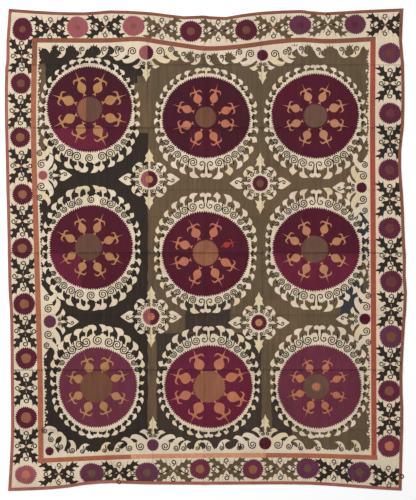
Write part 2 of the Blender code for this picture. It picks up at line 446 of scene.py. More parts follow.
class SuzaniDyes(bpy.types.PropertyGroup):
    """Dyes of the silk and the cotton."""
    cream: dye_setting("Cream", "Silk of the border ground, the rings and the stars", "#cfbea5")
    cream_warm: dye_setting("Warm cream", "A yellower lot of the cream silk", "#cdbb98")
    cream_pink: dye_setting("Pale cream", "A pinker lot of the cream silk", "#d4c3ae")
    charcoal: dye_setting("Charcoal", "Silk of the field on the left width", "#281f18")
    charcoal_soft: dye_setting("Soft charcoal", "A faded lot of the charcoal silk", "#352b23")
    charcoal_blue: dye_setting("Blue charcoal", "A bluer lot of the charcoal silk", "#2d3033")
    olive: dye_setting("Olive brown", "Silk of the field on the middle and right widths", "#584834")
    olive_warm: dye_setting("Warm olive brown", "A lighter lot of the olive brown silk", "#5f4c36")
    crimson: dye_setting("Crimson", "Silk of the nine medallions", "#46041b")
    crimson_bright: dye_setting("Bright crimson", "A redder lot of the crimson silk", "#5a112a")
    crimson_deep: dye_setting("Deep crimson", "A darker lot of the crimson silk", "#3b0316")
    crimson_worn: dye_setting("Worn crimson", "A faded lot of the crimson silk", "#5f2435")
    plum: dye_setting("Plum", "Silk of the rosettes of the left side", "#4b1022")
    plum_worn: dye_setting("Worn plum", "Silk of the rosettes of the right side", "#521b2e")
    lilac: dye_setting("Lilac", "A bluer purple, in rosettes and half stars", "#57283c")
    rose: dye_setting("Rose", "Faded pink silk", "#8a4b4f")
    tan: dye_setting("Tan", "Silk of the fruit and of many middles", "#a27349")
    salmon: dye_setting("Salmon", "A redder lot of the tan silk", "#a9664b")
    peach: dye_setting("Peach", "A paler lot of the salmon silk", "#a97553")
    garnet: dye_setting("Garnet", "Dull red brown, in middles of rosettes", "#603031")
    russet: dye_setting("Russet", "Orange brown, in middles of rosettes and medallions", "#84523a")
    rosewood: dye_setting("Rosewood", "Brownish pink silk", "#764638")
    umber: dye_setting("Umber", "Dark brown of some middle discs", "#5b3c2e")
    chestnut: dye_setting("Chestnut", "Mid brown of some middle discs", "#66402d")
    drab: dye_setting("Drab", "Greyish brown of some middle discs", "#5e4234")
    brick: dye_setting("Brick", "Inner stripe along the top", "#7f4c38")
    terracotta: dye_setting("Terracotta", "Inner stripe along the left and bottom", "#9d5b42")
    madder: dye_setting("Madder", "Inner stripe along the right", "#984836")
    pale_peach: dye_setting("Pale peach", "Middle of the inner stripe along the bottom", "#c08766")
    scarlet: dye_setting("Scarlet", "One small fruit of the middle medallion", "#983028")
    line: dye_setting("Line brown", "Chain-stitched curled lines", "#20190f")
    binding: dye_setting("Binding", "Cotton strip along the left and bottom edges", "#95584a")
    binding_dark: dye_setting("Dark binding", "Browner cotton strip along the top and right", "#7e4c3a")
    seam_thread: dye_setting("Seam thread", "Lacing along the two seams", "#5a4a3a")
    binding_thread: dye_setting("Binding thread", "Running stitches that hold the binding", "#7a4030")
    backing: dye_setting("Backing", "Undyed cotton of the back", "#c8bc9e")
    bare_ground: dye_setting("Bare ground", "Cotton that shows where the silk is worn", "#8d8272")


class SuzaniStage(bpy.types.PropertyGroup):
    """Floor, light and camera."""
    camera_height: bpy.props.FloatProperty(
        name="Camera height", description="Height of the camera above the cloth",
        default=9.0, unit="LENGTH")
    view_height: bpy.props.FloatProperty(
        name="View height", description="Length of floor that the view takes in",
        default=3.0, unit="LENGTH")
    floor_reach: bpy.props.FloatProperty(
        name="Floor reach", description="Half width of the square floor",
        default=12.0, unit="LENGTH")
    floor_colour: dye_setting("Floor colour", "Paint of the plain floor", "#ffffff")
    fill: bpy.props.FloatProperty(
        name="Fill light", description="Strength of the even light from all round",
        default=0.45, min=0.0, subtype="FACTOR")


SETTINGS = {
    "suzani_cloth": SuzaniCloth,
    "suzani_motifs": SuzaniMotifs,
    "suzani_thread": SuzaniThread,
    "suzani_dyes": SuzaniDyes,
    "suzani_stage": SuzaniStage,
}


def dyed(name):
    """A dye as the linear RGBA that the scene's settings give it."""
    return (*getattr(bpy.context.scene.suzani_dyes, name), 1.0)


# ---------------------------------------------------------------- shape helpers

def along_table(table, place):
    """Value of a two-column table at a place, on a smooth curve through its rows."""
    place = min(max(place, table[0][0]), table[-1][0])
    row = 0
    while row < len(table) - 2 and place > table[row + 1][0]:
        row += 1

    def slope(index):
        before, after = table[max(index - 1, 0)], table[min(index + 1, len(table) - 1)]
        return (after[1] - before[1]) / (after[0] - before[0])

    (start, low), (end, high) = table[row], table[row + 1]
    span = end - start
    t = (place - start) / span
    return (
        low * (1 + 2 * t) * (1 - t) ** 2 + high * t * t * (3 - 2 * t)
        + slope(row) * span * t * (1 - t) ** 2 - slope(row + 1) * span * t * t * (1 - t)
    )


def flowing(rows, steps=4):
    """Closed outline through (across, out, corner) rows: curves, with sharp points at corners."""
    outline = []
    count = len(rows)
    for index in range(count):
        before, start = rows[index - 1], rows[index]
        end, after = rows[(index + 1) % count], rows[(index + 2) % count]
        p0, p1, p2, p3 = (Vector(row[:2]) for row in (before, start, end, after))
        leave = (p2 - p1) if start[2] else (p2 - p0) / 2
        arrive = (p2 - p1) if end[2] else (p3 - p1) / 2
        pieces = 1 if start[2] and end[2] else steps
        for step in range(pieces):
            t = step / pieces
            outline.append(
                p1 * (1 + 2 * t) * (1 - t) ** 2 + p2 * t * t * (3 - 2 * t)
                + leave * t * (1 - t) ** 2 - arrive * t * t * (1 - t)
            )
    return outline


def both_halves(half, tip):
    """Rows of a shape that is the same on both sides, from its right half and its tip."""
    mirrored = tuple((-across, out, corner) for across, out, corner in half)
    return mirrored + ((0.0, tip, 1),) + tuple(reversed(half))


def heading(direction):
    """Unit vector that points a way, in radians from +X."""
    return Vector((math.cos(direction), math.sin(direction)))


def to_the_right(out):
    """Unit vector at a right angle to another, on its right."""
    return Vector((out.y, -out.x))


def placed(outline, base, direction, wide, tall, mirror=False):
    """An outline set with its root at base, its out axis along direction (radians)."""
    out = heading(direction)
    across = to_the_right(out) * (-1 if mirror else 1)
    return [Vector(base) + across * p.x * wide + out * p.y * tall for p in outline]


OUTLINES = {
    "fin": flowing(FIN), "axe": flowing(AXE), "tuft": flowing(TUFT, 3),
    "cross_leaf": flowing(CROSS_LEAF, 3), "wave": flowing(WAVE),
    "anchor": flowing(both_halves(ANCHOR_HALF, 0.84)),
    "arrow": flowing(both_halves(ARROW_HALF, 1.0)),
    "spade": flowing(both_halves(SPADE_HALF, 1.0)),
    "fruit": flowing(FRUIT), "stalk": flowing(STALK, 2),
}


def walk_round(follow, start):
    """Members of a closed chain in order, from its start."""
    chain, here = [start], follow[start]
    while here != start:
        chain.append(here)
        here = follow[here]
    return chain


def box_of(points):
    """Left, right, bottom and top of a set of points."""
    return (
        min(p.x for p in points), max(p.x for p in points),
        min(p.y for p in points), max(p.y for p in points))


def signed_area(outline):
    """Area inside an outline: negative where the outline runs clockwise."""
    return sum(
        start.x * end.y - end.x * start.y for start, end in zip(outline[-1:] + outline, outline)
    ) / 2


def fold_height(x, y):
    """How far the storage folds lift the cloth off the floor."""
    height = 0.0
    for place, folds in ((y, FOLDS_ACROSS), (x, FOLDS_LENGTHWISE)):
        for line, ridge, _ in folds:
            reach = abs(place - line) / FOLD_REACH
            if reach < 1.0:
                height = max(height, ridge * (0.5 + 0.5 * math.cos(math.pi * reach)))
    return height


def fold_crease_shade(x, y):
    """Painted shade along the folds: how much the silk is darkened, 1 on a hard fold's line."""
    crease_shade = 0.0
    for place, folds in ((y, FOLDS_ACROSS), (x, FOLDS_LENGTHWISE)):
        for line, _, share in folds:
            crease_shade = max(crease_shade, share * max(0.0, 1.0 - abs(place - line) / CREASE_SHADE_REACH))
    return crease_shade


# ---------------------------------------------------------------- the design

class Patch:
    """One stitched area: an outline, its dye and stitch, and what it may lie on."""

    def __init__(self, outline, dye, stitch, within=None):
        self.outline = outline
        self.dye = dye
        self.stitch = stitch
        self.within = within

    def dye_on(self, panel):
        """A pair of dyes is one for the panel to the left of a seam and one for the right."""
        if isinstance(self.dye, str):
            return self.dye
        return self.dye[0] if panel == self.dye[2] else self.dye[1]


def seam_pair(x, left, right):
    """Dyes of a motif that a seam crosses, worked on the two widths before they were sewn."""
    return (left, right, "panel_left" if x < 0 else "panel_middle")


class Design:
    """Every stitched area, lowest first, and every chain-stitched line."""

    def __init__(self, motifs):
        self.motifs = motifs
        self.draw = random.Random(DESIGN_SEED)
        self.patches = []
        self.lines = []

    def add(self, outline, dye, stitch, within=None):
        """Adds a stitched area, its outline turned to run anticlockwise."""
        if signed_area(outline) < 0:
            outline = list(reversed(outline))
        self.patches.append(Patch(outline, dye, stitch, within))

    def lot(self, left, right, bottom, top):
        """Outline of an upright run of stitching whose edges waver by a few threads."""
        corners = ((left, bottom), (right, bottom), (right, top), (left, top))
        outline = []
        for (x, y), (next_x, next_y) in zip(corners, corners[1:] + corners[:1]):
            pieces = max(1, round((abs(next_x - x) + abs(next_y - y)) / LOT_STEP))
            for piece in range(pieces):
                share = piece / pieces
                waver = [self.draw.uniform(-LOT_WAVER, LOT_WAVER) for _ in range(2)]
                place = (x + (next_x - x) * share, y + (next_y - y) * share)
                outline.append(Vector(place) + Vector(waver))
        return outline

    def toothed(self, centre, half_width, half_height, depth=None, pitch=None, wobble=0.006):
        """Outline of a disc with small triangular teeth, a little out of round."""
        depth = self.motifs.tooth_depth if depth is None else depth
        pitch = self.motifs.tooth_pitch if pitch is None else pitch
        teeth = max(9, round(math.pi * (half_width + half_height) / pitch))
        lean = self.draw.uniform(0, TURN)
        outline = []
        for step in range(2 * teeth):
            angle = math.pi * step / teeth
            swell = 1 + wobble * math.sin(3 * angle + lean) + wobble * math.sin(5 * angle - lean)
            drop = depth * self.draw.uniform(0.75, 1.1) if step % 2 else 0.0
            outline.append(Vector((
                centre[0] + (half_width * swell - drop) * math.cos(angle),
                centre[1] + (half_height * swell - drop) * math.sin(angle))))
        return outline

    def curl(self, centre, radius, turns, sense, tail, core=0.16):
        """A chain-stitched spiral that unwinds and leaves straight for the end of its tail.

        Its innermost turn has a radius that is the core share of the outermost one's.
        """
        away = Vector(tail) - Vector(centre)
        bend = math.acos(min(1.0, radius / away.length))
        leave = math.atan2(away.y, away.x) + sense * bend
        steps = max(8, round(12 * turns))
        points = []
        for step in range(steps + 1):
            share = step / steps
            angle = leave + sense * TURN * turns * (1 - share)
            reach = radius * (core + (1.0 - core) * share)
            points.append(Vector(centre) + heading(angle) * reach)
        last = points[-1]
        points += [last.lerp(Vector(tail), share) for share in (0.5, 1.0)]
        self.lines.append(points)

    def hook(self, base, direction, wide, tall, mirror, form="fin"):
        """A cream leaf that grows from its base, in one of the cream silk's lots."""
        dye = self.draw.choice(("cream", "cream", "cream", "cream_warm", "cream_pink"))
        self.add(placed(OUTLINES[form], base, direction, wide, tall, mirror), dye, "ground")


def ring_reach(medallion, motifs, angle):
    """Width of a medallion's cream ring at an angle: widest at its top and bottom."""
    top, bottom = medallion[4:6]
    rise = math.sin(angle)
    peak = top if rise > 0 else bottom
    extra = max(0.0, peak - motifs.ring_side)
    return motifs.ring_side + extra * abs(rise) ** 1.4


def ring_point(medallion, angle, reach):
    """Point at a distance outside a medallion's edge."""
    x, y, half_width, half_height = medallion[:4]
    return Vector((
        x + (half_width + reach) * math.cos(angle), y + (half_height + reach) * math.sin(angle)))


def draw_ring(design, medallion):
    """The cream ring with its outward hooks, its end leaves and its curled lines."""
    motifs, draw = design.motifs, design.draw
    outline = []
    for step in range(2 * RING_TEETH):
        angle = math.pi * step / RING_TEETH
        reach = ring_reach(medallion, motifs, angle)
        tooth = (3.0 + 60.0 * reach) * MM * draw.uniform(0.5, 1.2) if step % 2 else 0.0
        bay = 0.15 * reach * (0.5 + 0.5 * math.cos(angle * motifs.hook_count))
        outline.append(ring_point(medallion, angle, reach - tooth - bay))
    design.add(outline, "cream", "ground")
    for side in (1, -1):
        for end in (1, -1):
            draw_ring_quarter(design, medallion, side, end)
    for end, peak in ((1, medallion[4]), (-1, medallion[5])):
        deep = peak > DEEP_RING
        if deep and medallion[0] < LEFT_COLUMN:
            draw_leaning_end(design, medallion, end, peak)
        else:
            draw_anchor_end(design, medallion, end, peak, deep)


def draw_leaning_end(design, medallion, end, peak):
    """Two leaves that part over one large curl, at the top or bottom of a ring."""
    angle = end * QUARTER
    for side in (1, -1):
        base = ring_point(medallion, angle, peak - FOOT_DEPTH) + Vector((side * 0.026, 0))
        design.hook(base, angle - side * end * 0.15, 0.046, 0.058, end > 0)
    middle = ring_point(medallion, angle, 0.45 * peak)
    tail = ring_point(medallion, angle, peak + 0.004) + Vector((0.030, 0))
    design.curl(middle, 0.38 * peak, 1.9, end, tail)


def draw_anchor_end(design, medallion, end, peak, deep):
    """An anchor-shaped leaf at the top or bottom of a ring; a deep ring has a curl each side."""
    angle = end * QUARTER
    if deep:
        for side in (1, -1):
            middle = ring_point(medallion, angle, 0.44 * peak) + Vector((side * 0.026, 0))
            tail = ring_point(medallion, angle, peak + 0.012) + Vector((side * 0.016, 0))
            design.curl(middle, 0.020, 1.1, side * end, tail)
    base = ring_point(medallion, angle, peak - FOOT_DEPTH)
    size = 0.036 + 0.20 * max(0.0, peak - 0.03)
    design.add(placed(OUTLINES["anchor"], base, angle, size, size * 1.05), "cream", "ground")


def draw_ring_quarter(design, medallion, side, end):
    """Hooks and curls from one side of a medallion up or down to its middle line."""
    motifs, draw = design.motifs, design.draw
    half_width, half_height = medallion[2:4]
    count = motifs.hook_count // 4
    spin = side * end
    for index in range(count):
        share = (index + 0.5) / (count + 0.75)
        lift = share * QUARTER + draw.uniform(-0.012, 0.012)
        angle = end * lift if side > 0 else math.pi - end * lift
        reach = ring_reach(medallion, motifs, angle)
        outward = math.atan2(half_height * math.sin(angle), half_width * math.cos(angle))
        narrow = share * max(0.0, 1.0 - reach / 0.05)
        size = min(0.032 + 0.44 * reach, 0.064) * draw.uniform(0.88, 1.12) + 0.012 * narrow
        form = "axe" if draw.random() < 0.12 else "fin"
        base = ring_point(medallion, angle, reach - FOOT_DEPTH)
        lean = spin * (0.05 + 0.25 * share + 0.35 * narrow) + draw.uniform(-0.12, 0.12)
        design.hook(base, outward + lean, size * 0.80, size, spin > 0, form)
        radius = min(0.45 * reach, 0.034) * draw.uniform(0.86, 1.0)
        onward = spin * 0.5 * QUARTER / count
        notch = ring_point(medallion, angle - onward, reach + 0.006)
        if radius > 0.011:
            middle = ring_point(medallion, angle - onward * 0.30, 0.003 + radius)
            design.curl(middle, radius, 1.9, -spin, notch)
        else:
            middle = ring_point(medallion, angle - onward, reach - 0.001)
            notch = ring_point(medallion, angle - onward * 1.5, reach + 0.012)
            design.curl(middle, 0.0070, 0.8, -spin, notch, 0.5)


def draw_fruit(design, base, direction, dye, scale):
    """A pomegranate: round body, two curled horns and a spike, with a stalk at its foot."""
    draw = design.draw
    size = design.motifs.fruit_radius * scale
    wide = size * draw.uniform(0.88, 1.06)
    tall = size * draw.uniform(0.94, 1.08)
    mirror = draw.random() < 0.5
    design.add(placed(OUTLINES["fruit"], base, direction, wide, tall, mirror), dye, "fruit")
    design.add(placed(OUTLINES["stalk"], base, direction, wide, tall, mirror), dye, "fruit")


def draw_medallion(design, index, medallion):
    """A toothed crimson disc with its dye lots, its ring of fruit and its middle disc."""
    x, y, half_width, half_height = medallion[:4]
    shift_x, shift_y, disc, disc_dye, fruit_dye, fruit_size = medallion[6:]
    design.add(design.toothed((x, y), half_width, half_height), "crimson", "medallion")
    for lot_index, left, right, bottom, top, dye in CRIMSON_LOTS:
        if lot_index == index:
            lot = design.lot(x + left, x + right, y + bottom, y + top)
            design.add(lot, dye, "medallion", within="crimson")
    count = design.motifs.fruit_count
    for fruit in range(count):
        angle = TURN * (fruit + 0.5) / count + design.draw.uniform(-0.05, 0.05)
        reach = FRUIT_REACH + 1.4 * (disc - MIDDLE_DISC) + 0.25 * (fruit_size - 1.0)
        reach += design.draw.uniform(-0.02, 0.02)
        base = Vector((
            x + shift_x * 0.5 + half_width * reach * math.cos(angle),
            y + shift_y * 0.5 + half_height * reach * math.sin(angle)))
        odd_one = (index, fruit) == SCARLET_FRUIT
        dye = "scarlet" if odd_one else fruit_dye
        direction = angle + design.draw.uniform(-0.16, 0.16)
        draw_fruit(design, base, direction, dye, SCARLET_SIZE if odd_one else fruit_size)
    centre = (x + shift_x, y + shift_y)
    rim = disc + MIDDLE_RIM
    design.add(design.toothed(centre, rim, rim, MIDDLE_TEETH), disc_dye, "medallion")
    if index == HALF_RUSSET_DISC:
        left = design.lot(x - 0.1, x - 0.020, y - 0.1, y + 0.1)
        design.add(left, "russet", "medallion", within=disc_dye)
    if index == SALMON_EYE_DISC:
        design.add(design.toothed(centre, 0.032, 0.030), "salmon", "fruit")


def draw_arm(design, centre, direction, form, length):
    """One arm of a star; a spade-shaped one has a curled line in its head."""
    dye = "cream_warm" if form == "arrow" else "cream"
    design.add(placed(OUTLINES[form], centre, direction, length * 0.95, length), dye, "ground")
    if form == "spade":
        out = heading(direction)
        sense = 1 if design.draw.random() < 0.5 else -1
        aside = to_the_right(out) * sense
        middle = centre + out * length * 0.76 + aside * 0.004
        design.curl(middle, 0.013, 1.1, sense, centre + out * length * 0.52 - aside * 0.004)


def draw_star(design, x, y, radius, directions, length):
    """Cream star: a narrow toothed ring with four arms, and hooks and curls between them."""
    ring = radius + 0.013
    centre = Vector((x, y))
    design.add(design.toothed(centre, ring, ring, 0.008, 0.014), "cream", "ground")
    curls = []
    for quarter in directions:
        direction = quarter * QUARTER
        draw_arm(design, centre, direction, "arrow" if quarter % 2 else "spade", length)
        for side in (1, -1):
            turn = direction + side * 0.58
            tall = design.draw.uniform(0.058, 0.068)
            base = centre + heading(turn) * (ring - 0.006)
            design.hook(base, turn + side * 0.02, tall * 0.58, tall, side > 0)
            curls.append((direction + side * 0.26, 0.012, side))
        if len(directions) == 4:
            curls.append((direction + math.pi / 4, 0.015, 1))
    for turn, size, side in curls:
        middle = centre + heading(turn) * (radius + 0.008 + size)
        lobe = size + 5 * MM
        design.add(design.toothed(middle, lobe, lobe, 0.004, 0.010), "cream", "ground")
        edge = centre + heading(turn + side * 0.22) * (ring + 0.032)
        design.curl(middle, size, 1.4, -side, edge)


def draw_cross(design, x, y, along_x, dye, middle_dye):
    """Border cross: four dark serrated leaves with a curled line in each gap."""
    motifs, draw = design.motifs, design.draw
    reach_x = motifs.cross_reach if along_x else motifs.cross_width
    reach_y = motifs.cross_width if along_x else motifs.cross_reach
    for side_x in (1, -1):
        for side_y in (1, -1):
            tip = Vector((side_x * reach_x, side_y * reach_y)) * draw.uniform(0.94, 1.02)
            direction = math.atan2(tip.y, tip.x)
            outline = placed(
                OUTLINES["cross_leaf"], (x, y), direction, CROSS_LEAF_WIDTH, tip.length,
                mirror=side_x * side_y > 0)
            design.add(outline, dye, "field")
    for quarter in range(4):
        out = heading(quarter * QUARTER)
        reach = 0.62 * abs(out.x * reach_x + out.y * reach_y)
        sense = 1 if draw.random() < 0.5 else -1
        aside = to_the_right(out) * sense
        middle = Vector((x, y)) + out * (reach + 0.012)
        tail = Vector((x, y)) + out * 0.030 - aside * 0.004
        design.curl(middle, 0.0150, 1.0, sense, tail, 0.5)
    design.add(design.toothed((x, y), 0.009, 0.009, 0.003, 0.008), middle_dye, "fruit")


def stripe_outline(side, start, end):
    """A length of the inner stripe between two places along its side."""
    table, half = STRIPE_LINES[side], STRIPE_HALF_WIDTH[side]
    steps = max(2, math.ceil((end - start) / 0.04))
    places = [start + (end - start) * step / steps for step in range(steps + 1)]
    low = [(place, along_table(table, place) - half) for place in places]
    high = [(place, along_table(table, place) + half) for place in reversed(places)]
    points = [Vector(p) for p in low + high]
    if side in ("left", "right"):
        points = [Vector((p.y, p.x)) for p in points]
    return points


def draw_bottom_corner(design):
    """Waves and curls that close the field round the small disc of the bottom left corner."""
    for x, y, turn, tall in (
            (-0.962, -1.085, 0.35, 0.066), (-0.925, -1.135, 0.80, 0.070),
            (-0.868, -1.178, 1.00, 0.064), (-0.800, -1.200, 1.35, 0.054)):
        base = Vector((x, y))
        design.hook(base, turn, tall * 0.80, tall, turn > 0.9, "wave")
        inner = base - heading(turn) * 0.004
        design.curl(inner, 0.018, 1.7, 1, base + heading(turn + 0.9) * 0.036)


def bay_phase(place):
    """Where in a bay of the field's edge a place lies: one bay to each whole turn."""
    return place * 66 + 2 * math.sin(place * 13)


def field_outline(draw):
    """Edge of the dark field: it follows the inner stripe, with bays and small teeth."""
    left, right, bottom, top = FIELD_CORNERS
    points = []

    def run(side, start, end, sign):
        """Adds one side of the edge; sign is 1 where the stripe is on the plus side of it."""
        gap, bay = FIELD_GAPS[side]
        steps = round(abs(end - start) / FIELD_TOOTH_PITCH)
        for step in range(steps):
            place = start + (end - start) * step / steps
            depth = draw.uniform(0.005, 0.010) if step % 2 else 0.0
            sway = 0.5 + 0.5 * math.sin(bay_phase(place))
            inset = STRIPE_HALF_WIDTH[side] + gap + depth + bay * sway ** 2
            line = along_table(STRIPE_LINES[side], place) - sign * inset
            points.append(Vector((line, place) if side in ("left", "right") else (place, line)))

    run("bottom", left + 0.10, right - 0.02, -1)
    run("right", bottom + 0.02, top - 0.02, 1)
    run("top", right - 0.02, left + 0.02, 1)
    run("left", top - 0.02, bottom + 0.12, -1)
    return points


def draw_field_edge(design):
    """Cream waves with curled lines along the inside of the stripe, small fins at its sides."""
    draw = design.draw
    for side, direction in INWARD.items():
        sideways = side in ("left", "right")
        low, high = EDGE_RUNS["upright" if sideways else "level"]
        out = heading(direction)
        gap, bay = FIELD_GAPS[side]
        half = STRIPE_HALF_WIDTH[side]
        place = low
        while place < high:
            place += SIDE_FIN_PITCH if sideways else WAVE_SEARCH_STEP
            turns = (bay_phase(place) - QUARTER) / TURN
            before = (bay_phase(place - WAVE_SEARCH_STEP) - QUARTER) / TURN
            crest = side == "top" and math.floor(turns + 0.5) != math.floor(before + 0.5)
            if not sideways and math.floor(turns) == math.floor(before) and not crest:
                continue
            line = along_table(STRIPE_LINES[side], place)
            root = Vector((line, place)) if sideways else Vector((place, line))
            if any((root - Vector(star[:2])).length < CLEAR_OF_HALF_STARS for star in HALF_STARS):
                continue
            if crest:
                half_width = draw.uniform(0.030, 0.036)
                foot = root + out * (half + gap + 0.016)
                tuft = placed(OUTLINES["tuft"], foot, -direction, half_width, 0.032)
                design.add(tuft, "charcoal" if place < CHARCOAL_EDGE else "olive", "field")
                continue
            size = draw.uniform(0.013, 0.020) if sideways else draw.uniform(0.044, 0.054)
            base = root + out * (half + gap + bay * 0.5)
            turned = place > 0 if draw.random() < 0.8 else place < 0
            lean = direction + draw.uniform(-0.2, 0.2)
            form = "fin" if sideways else "wave"
            design.hook(base, lean, size * 0.95, size, turned, form)
            if not sideways:
                sense = 1 if turned else -1
                tail = base + out * size * 0.62 - to_the_right(out) * sense * 0.006
                middle = base - out * 0.002
                design.curl(middle, draw.uniform(0.013, 0.017), 1.4, sense, tail, 0.3)


def draw_side_waves(design, x, y, radius, quarter):
    """The waves with curls that spread both ways along the stripe from a half star."""
    direction = quarter * QUARTER
    centre = Vector((x, y))
    out, aside = heading(direction), heading(direction + QUARTER)
    for side in (1, -1):
        along = aside * side
        bank = [
            centre + along * (radius + 0.19) - out * 0.055, centre - out * 0.055,
            centre + out * 0.04, centre + along * (radius + 0.05) + out * 0.022,
            centre + along * (radius + 0.11) + out * 0.004]
        design.add(bank, "cream", "ground")
        for reach, rise, lean, tall in ((0.024, 0.018, 0.75, 0.074), (0.090, -0.004, 0.50, 0.066)):
            root = centre + along * (radius + reach) + out * rise
            design.hook(root, direction + side * lean, tall * 0.7, tall, side > 0, "wave")
        for reach, rise, size in ((0.036, -0.008, 0.025), (0.102, -0.018, 0.019)):
            middle = centre + along * (radius + reach) + out * rise
            tail = middle + along * size * 1.1 + out * size * 1.1
            design.curl(middle, size, 1.7, side, tail)


def draw_crosses(design):
    """A leaf cross in the middle of each gap between rosettes, and at two corners."""
    count = len(ROSETTES)
    crosses = [(x, y, True) for x, y in CORNER_CROSSES]
    for index, rosette in enumerate(ROSETTES):
        x, y = rosette[:2]
        next_x, next_y = ROSETTES[(index + 1) % count][:2]
        if (Vector((x, y)) - Vector((next_x, next_y))).length > CROSS_GAP:
            crosses.append(((x + next_x) / 2, (y + next_y) / 2, abs(next_x - x) > abs(next_y - y)))
    for x, y, along_x in crosses:
        low, high = OLIVE_CROSSES
        dye = "olive" if along_x and low < x < high else "charcoal"
        dot = design.draw.choice(("rose", "plum", "madder", "rosewood"))
        draw_cross(design, x, y, along_x, dye, dot)


def draw_rosettes(design):
    """Toothed rosettes round the border, each with a middle of another dye."""
    for x, y, half_width, half_height, dye, middle_dye, middle_radius in ROSETTES:
        disc = design.toothed((x, y), half_width * 1.12, half_height * 1.12, 0.009, 0.014, 0.012)
        design.add(disc, dye, "medallion")
        middle = design.toothed((x, y), middle_radius, middle_radius, 0.005, 0.012, 0.03)
        design.add(middle, middle_dye, "fruit")


def make_design(motifs):
    """The whole design, from the field up to the smallest motifs."""
    design = Design(motifs)
    design.add(field_outline(design.draw), "olive", "field")
    for left, right, bottom, top, dye in FIELD_LOTS:
        design.add(design.lot(left, right, bottom, top), dye, "field", within="field")
    draw_field_edge(design)
    draw_bottom_corner(design)
    for medallion in MEDALLIONS:
        draw_ring(design, medallion)
    for x, y, radius, *_ in STARS:
        draw_star(design, x, y, radius, (0, 1, 2, 3), STAR_ARM)
    for x, y, radius, quarter, *_ in HALF_STARS:
        if radius > SMALLEST_HALF_STAR:
            draw_star(design, x, y, radius, (quarter,), HALF_STAR_ARM)
            draw_side_waves(design, x, y, radius, quarter)
    for index, medallion in enumerate(MEDALLIONS):
        draw_medallion(design, index, medallion)
    for x, y, radius, left, right, middle in STARS:
        pair = seam_pair(x, left, right)
        design.add(design.toothed((x, y), radius, radius, 0.006, 0.013), pair, "medallion")
        design.add(design.toothed((x, y), 0.024, 0.024, 0.005, 0.011), middle, "fruit")
    for x, y, radius, _, left, right in HALF_STARS:
        pair = seam_pair(x, left, right)
        design.add(design.toothed((x, y), radius, radius, 0.005, 0.012), pair, "medallion")
    draw_crosses(design)
    for side, start, end, dye in STRIPE_LOTS:
        design.add(stripe_outline(side, start, end), dye, "stripe")
    draw_rosettes(design)
    return design


# ---------------------------------------------------------------- the frame's outlines

def top_outline(node):
    """Outline of a CAD sheet's upper face, in order round it, as seen from above."""
    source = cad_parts[node]
    shape = bmesh.new()
    shape.from_mesh(source.data)
    bmesh.ops.remove_doubles(shape, verts=shape.verts, dist=1e-5)
    shape.normal_update()
    follow = {}
    for edge in shape.edges:
        ups = [face for face in edge.link_faces if face.normal.z > 0.5]
        if len(ups) == 1:
            loop = next(loop for loop in ups[0].loops if loop.edge == edge)
            follow[loop.vert.index] = loop.link_loop_next.vert.index
    shape.verts.ensure_lookup_table()
    ring = walk_round(follow, next(iter(follow)))
    outline = [shape.verts[index].co.xy.copy() for index in ring]
    shape.free()
    return outline


def inside(outline, places):
    """Which of the places lie inside an outline: those with an odd number of edges to the right."""
    ends = np.array([tuple(point) for point in outline])
    starts = np.roll(ends, 1, axis=0)
    level = ends[:, 1] != starts[:, 1]
    (x1, y1), (x2, y2) = starts[level].T, ends[level].T
    slant = (x2 - x1) / (y2 - y1)
    found = np.zeros(len(places), bool)
    for first in range(0, len(places), 2000):
        x, y = (places[first:first + 2000, axis, None] for axis in (0, 1))
        crossed = ((y1 > y) != (y2 > y)) & (x < slant * (y - y1) + x1)
        found[first:first + 2000] = crossed.sum(axis=1) % 2 == 1
    return found


# ---------------------------------------------------------------- materials

# Most of a noise texture's values lie in this range.
NOISE_RANGE = {"From Min": 0.3, "From Max": 0.7}

# A wave texture of scale 1 has 20 / (2 pi) bands to the metre.
BAND_SCALE = TURN / 20

# Places of the colour sockets of a Mix node, whose names it repeats for each kind of data.
MIX_FACTOR, MIX_A, MIX_B, MIX_RESULT = 0, 6, 7, 2


def add_node(tree, kind, settings=None, links=None):
    """Adds a node, sets its properties and inputs, and links sockets into it."""
    node = tree.nodes.new(kind)
    for name, value in (settings or {}).items():
        if isinstance(name, str) and name not in node.inputs:
            setattr(node, name, value)
        else:
            node.inputs[name].default_value = value
    for name, socket in (links or {}).items():
        tree.links.new(socket, node.inputs[name])
    return node


def new_material(name, roughness, sheen, specular):
    """A material and its shader, set to a finish; gives both."""
    material = bpy.data.materials.new(name)
    material.use_nodes = True
    shader = material.node_tree.nodes["Principled BSDF"]
    shader.inputs["Roughness"].default_value = roughness
    shader.inputs["Sheen Weight"].default_value = sheen
    shader.inputs["Specular IOR Level"].default_value = specular
    return material, shader


def toned_by(tree, colour, textures, level=None):
    """A colour made lighter and darker by noise: (texture, least factor, greatest factor) rows.

    A level, where one is given, is one more factor.
    """
    for texture, least, greatest in textures:
        span = add_node(
            tree, "ShaderNodeMapRange", {**NOISE_RANGE, "To Min": least, "To Max": greatest},
            {"Value": texture.outputs["Fac"]})
        factor = span.outputs["Result"]
        if level is not None:
            product = add_node(
                tree, "ShaderNodeMath", {"operation": "MULTIPLY"}, {0: level, 1: factor})
            factor = product.outputs["Value"]
        level = factor
    toned = add_node(
        tree, "ShaderNodeVectorMath", {"operation": "SCALE"}, {0: colour, "Scale": level})
    return toned.outputs["Vector"]


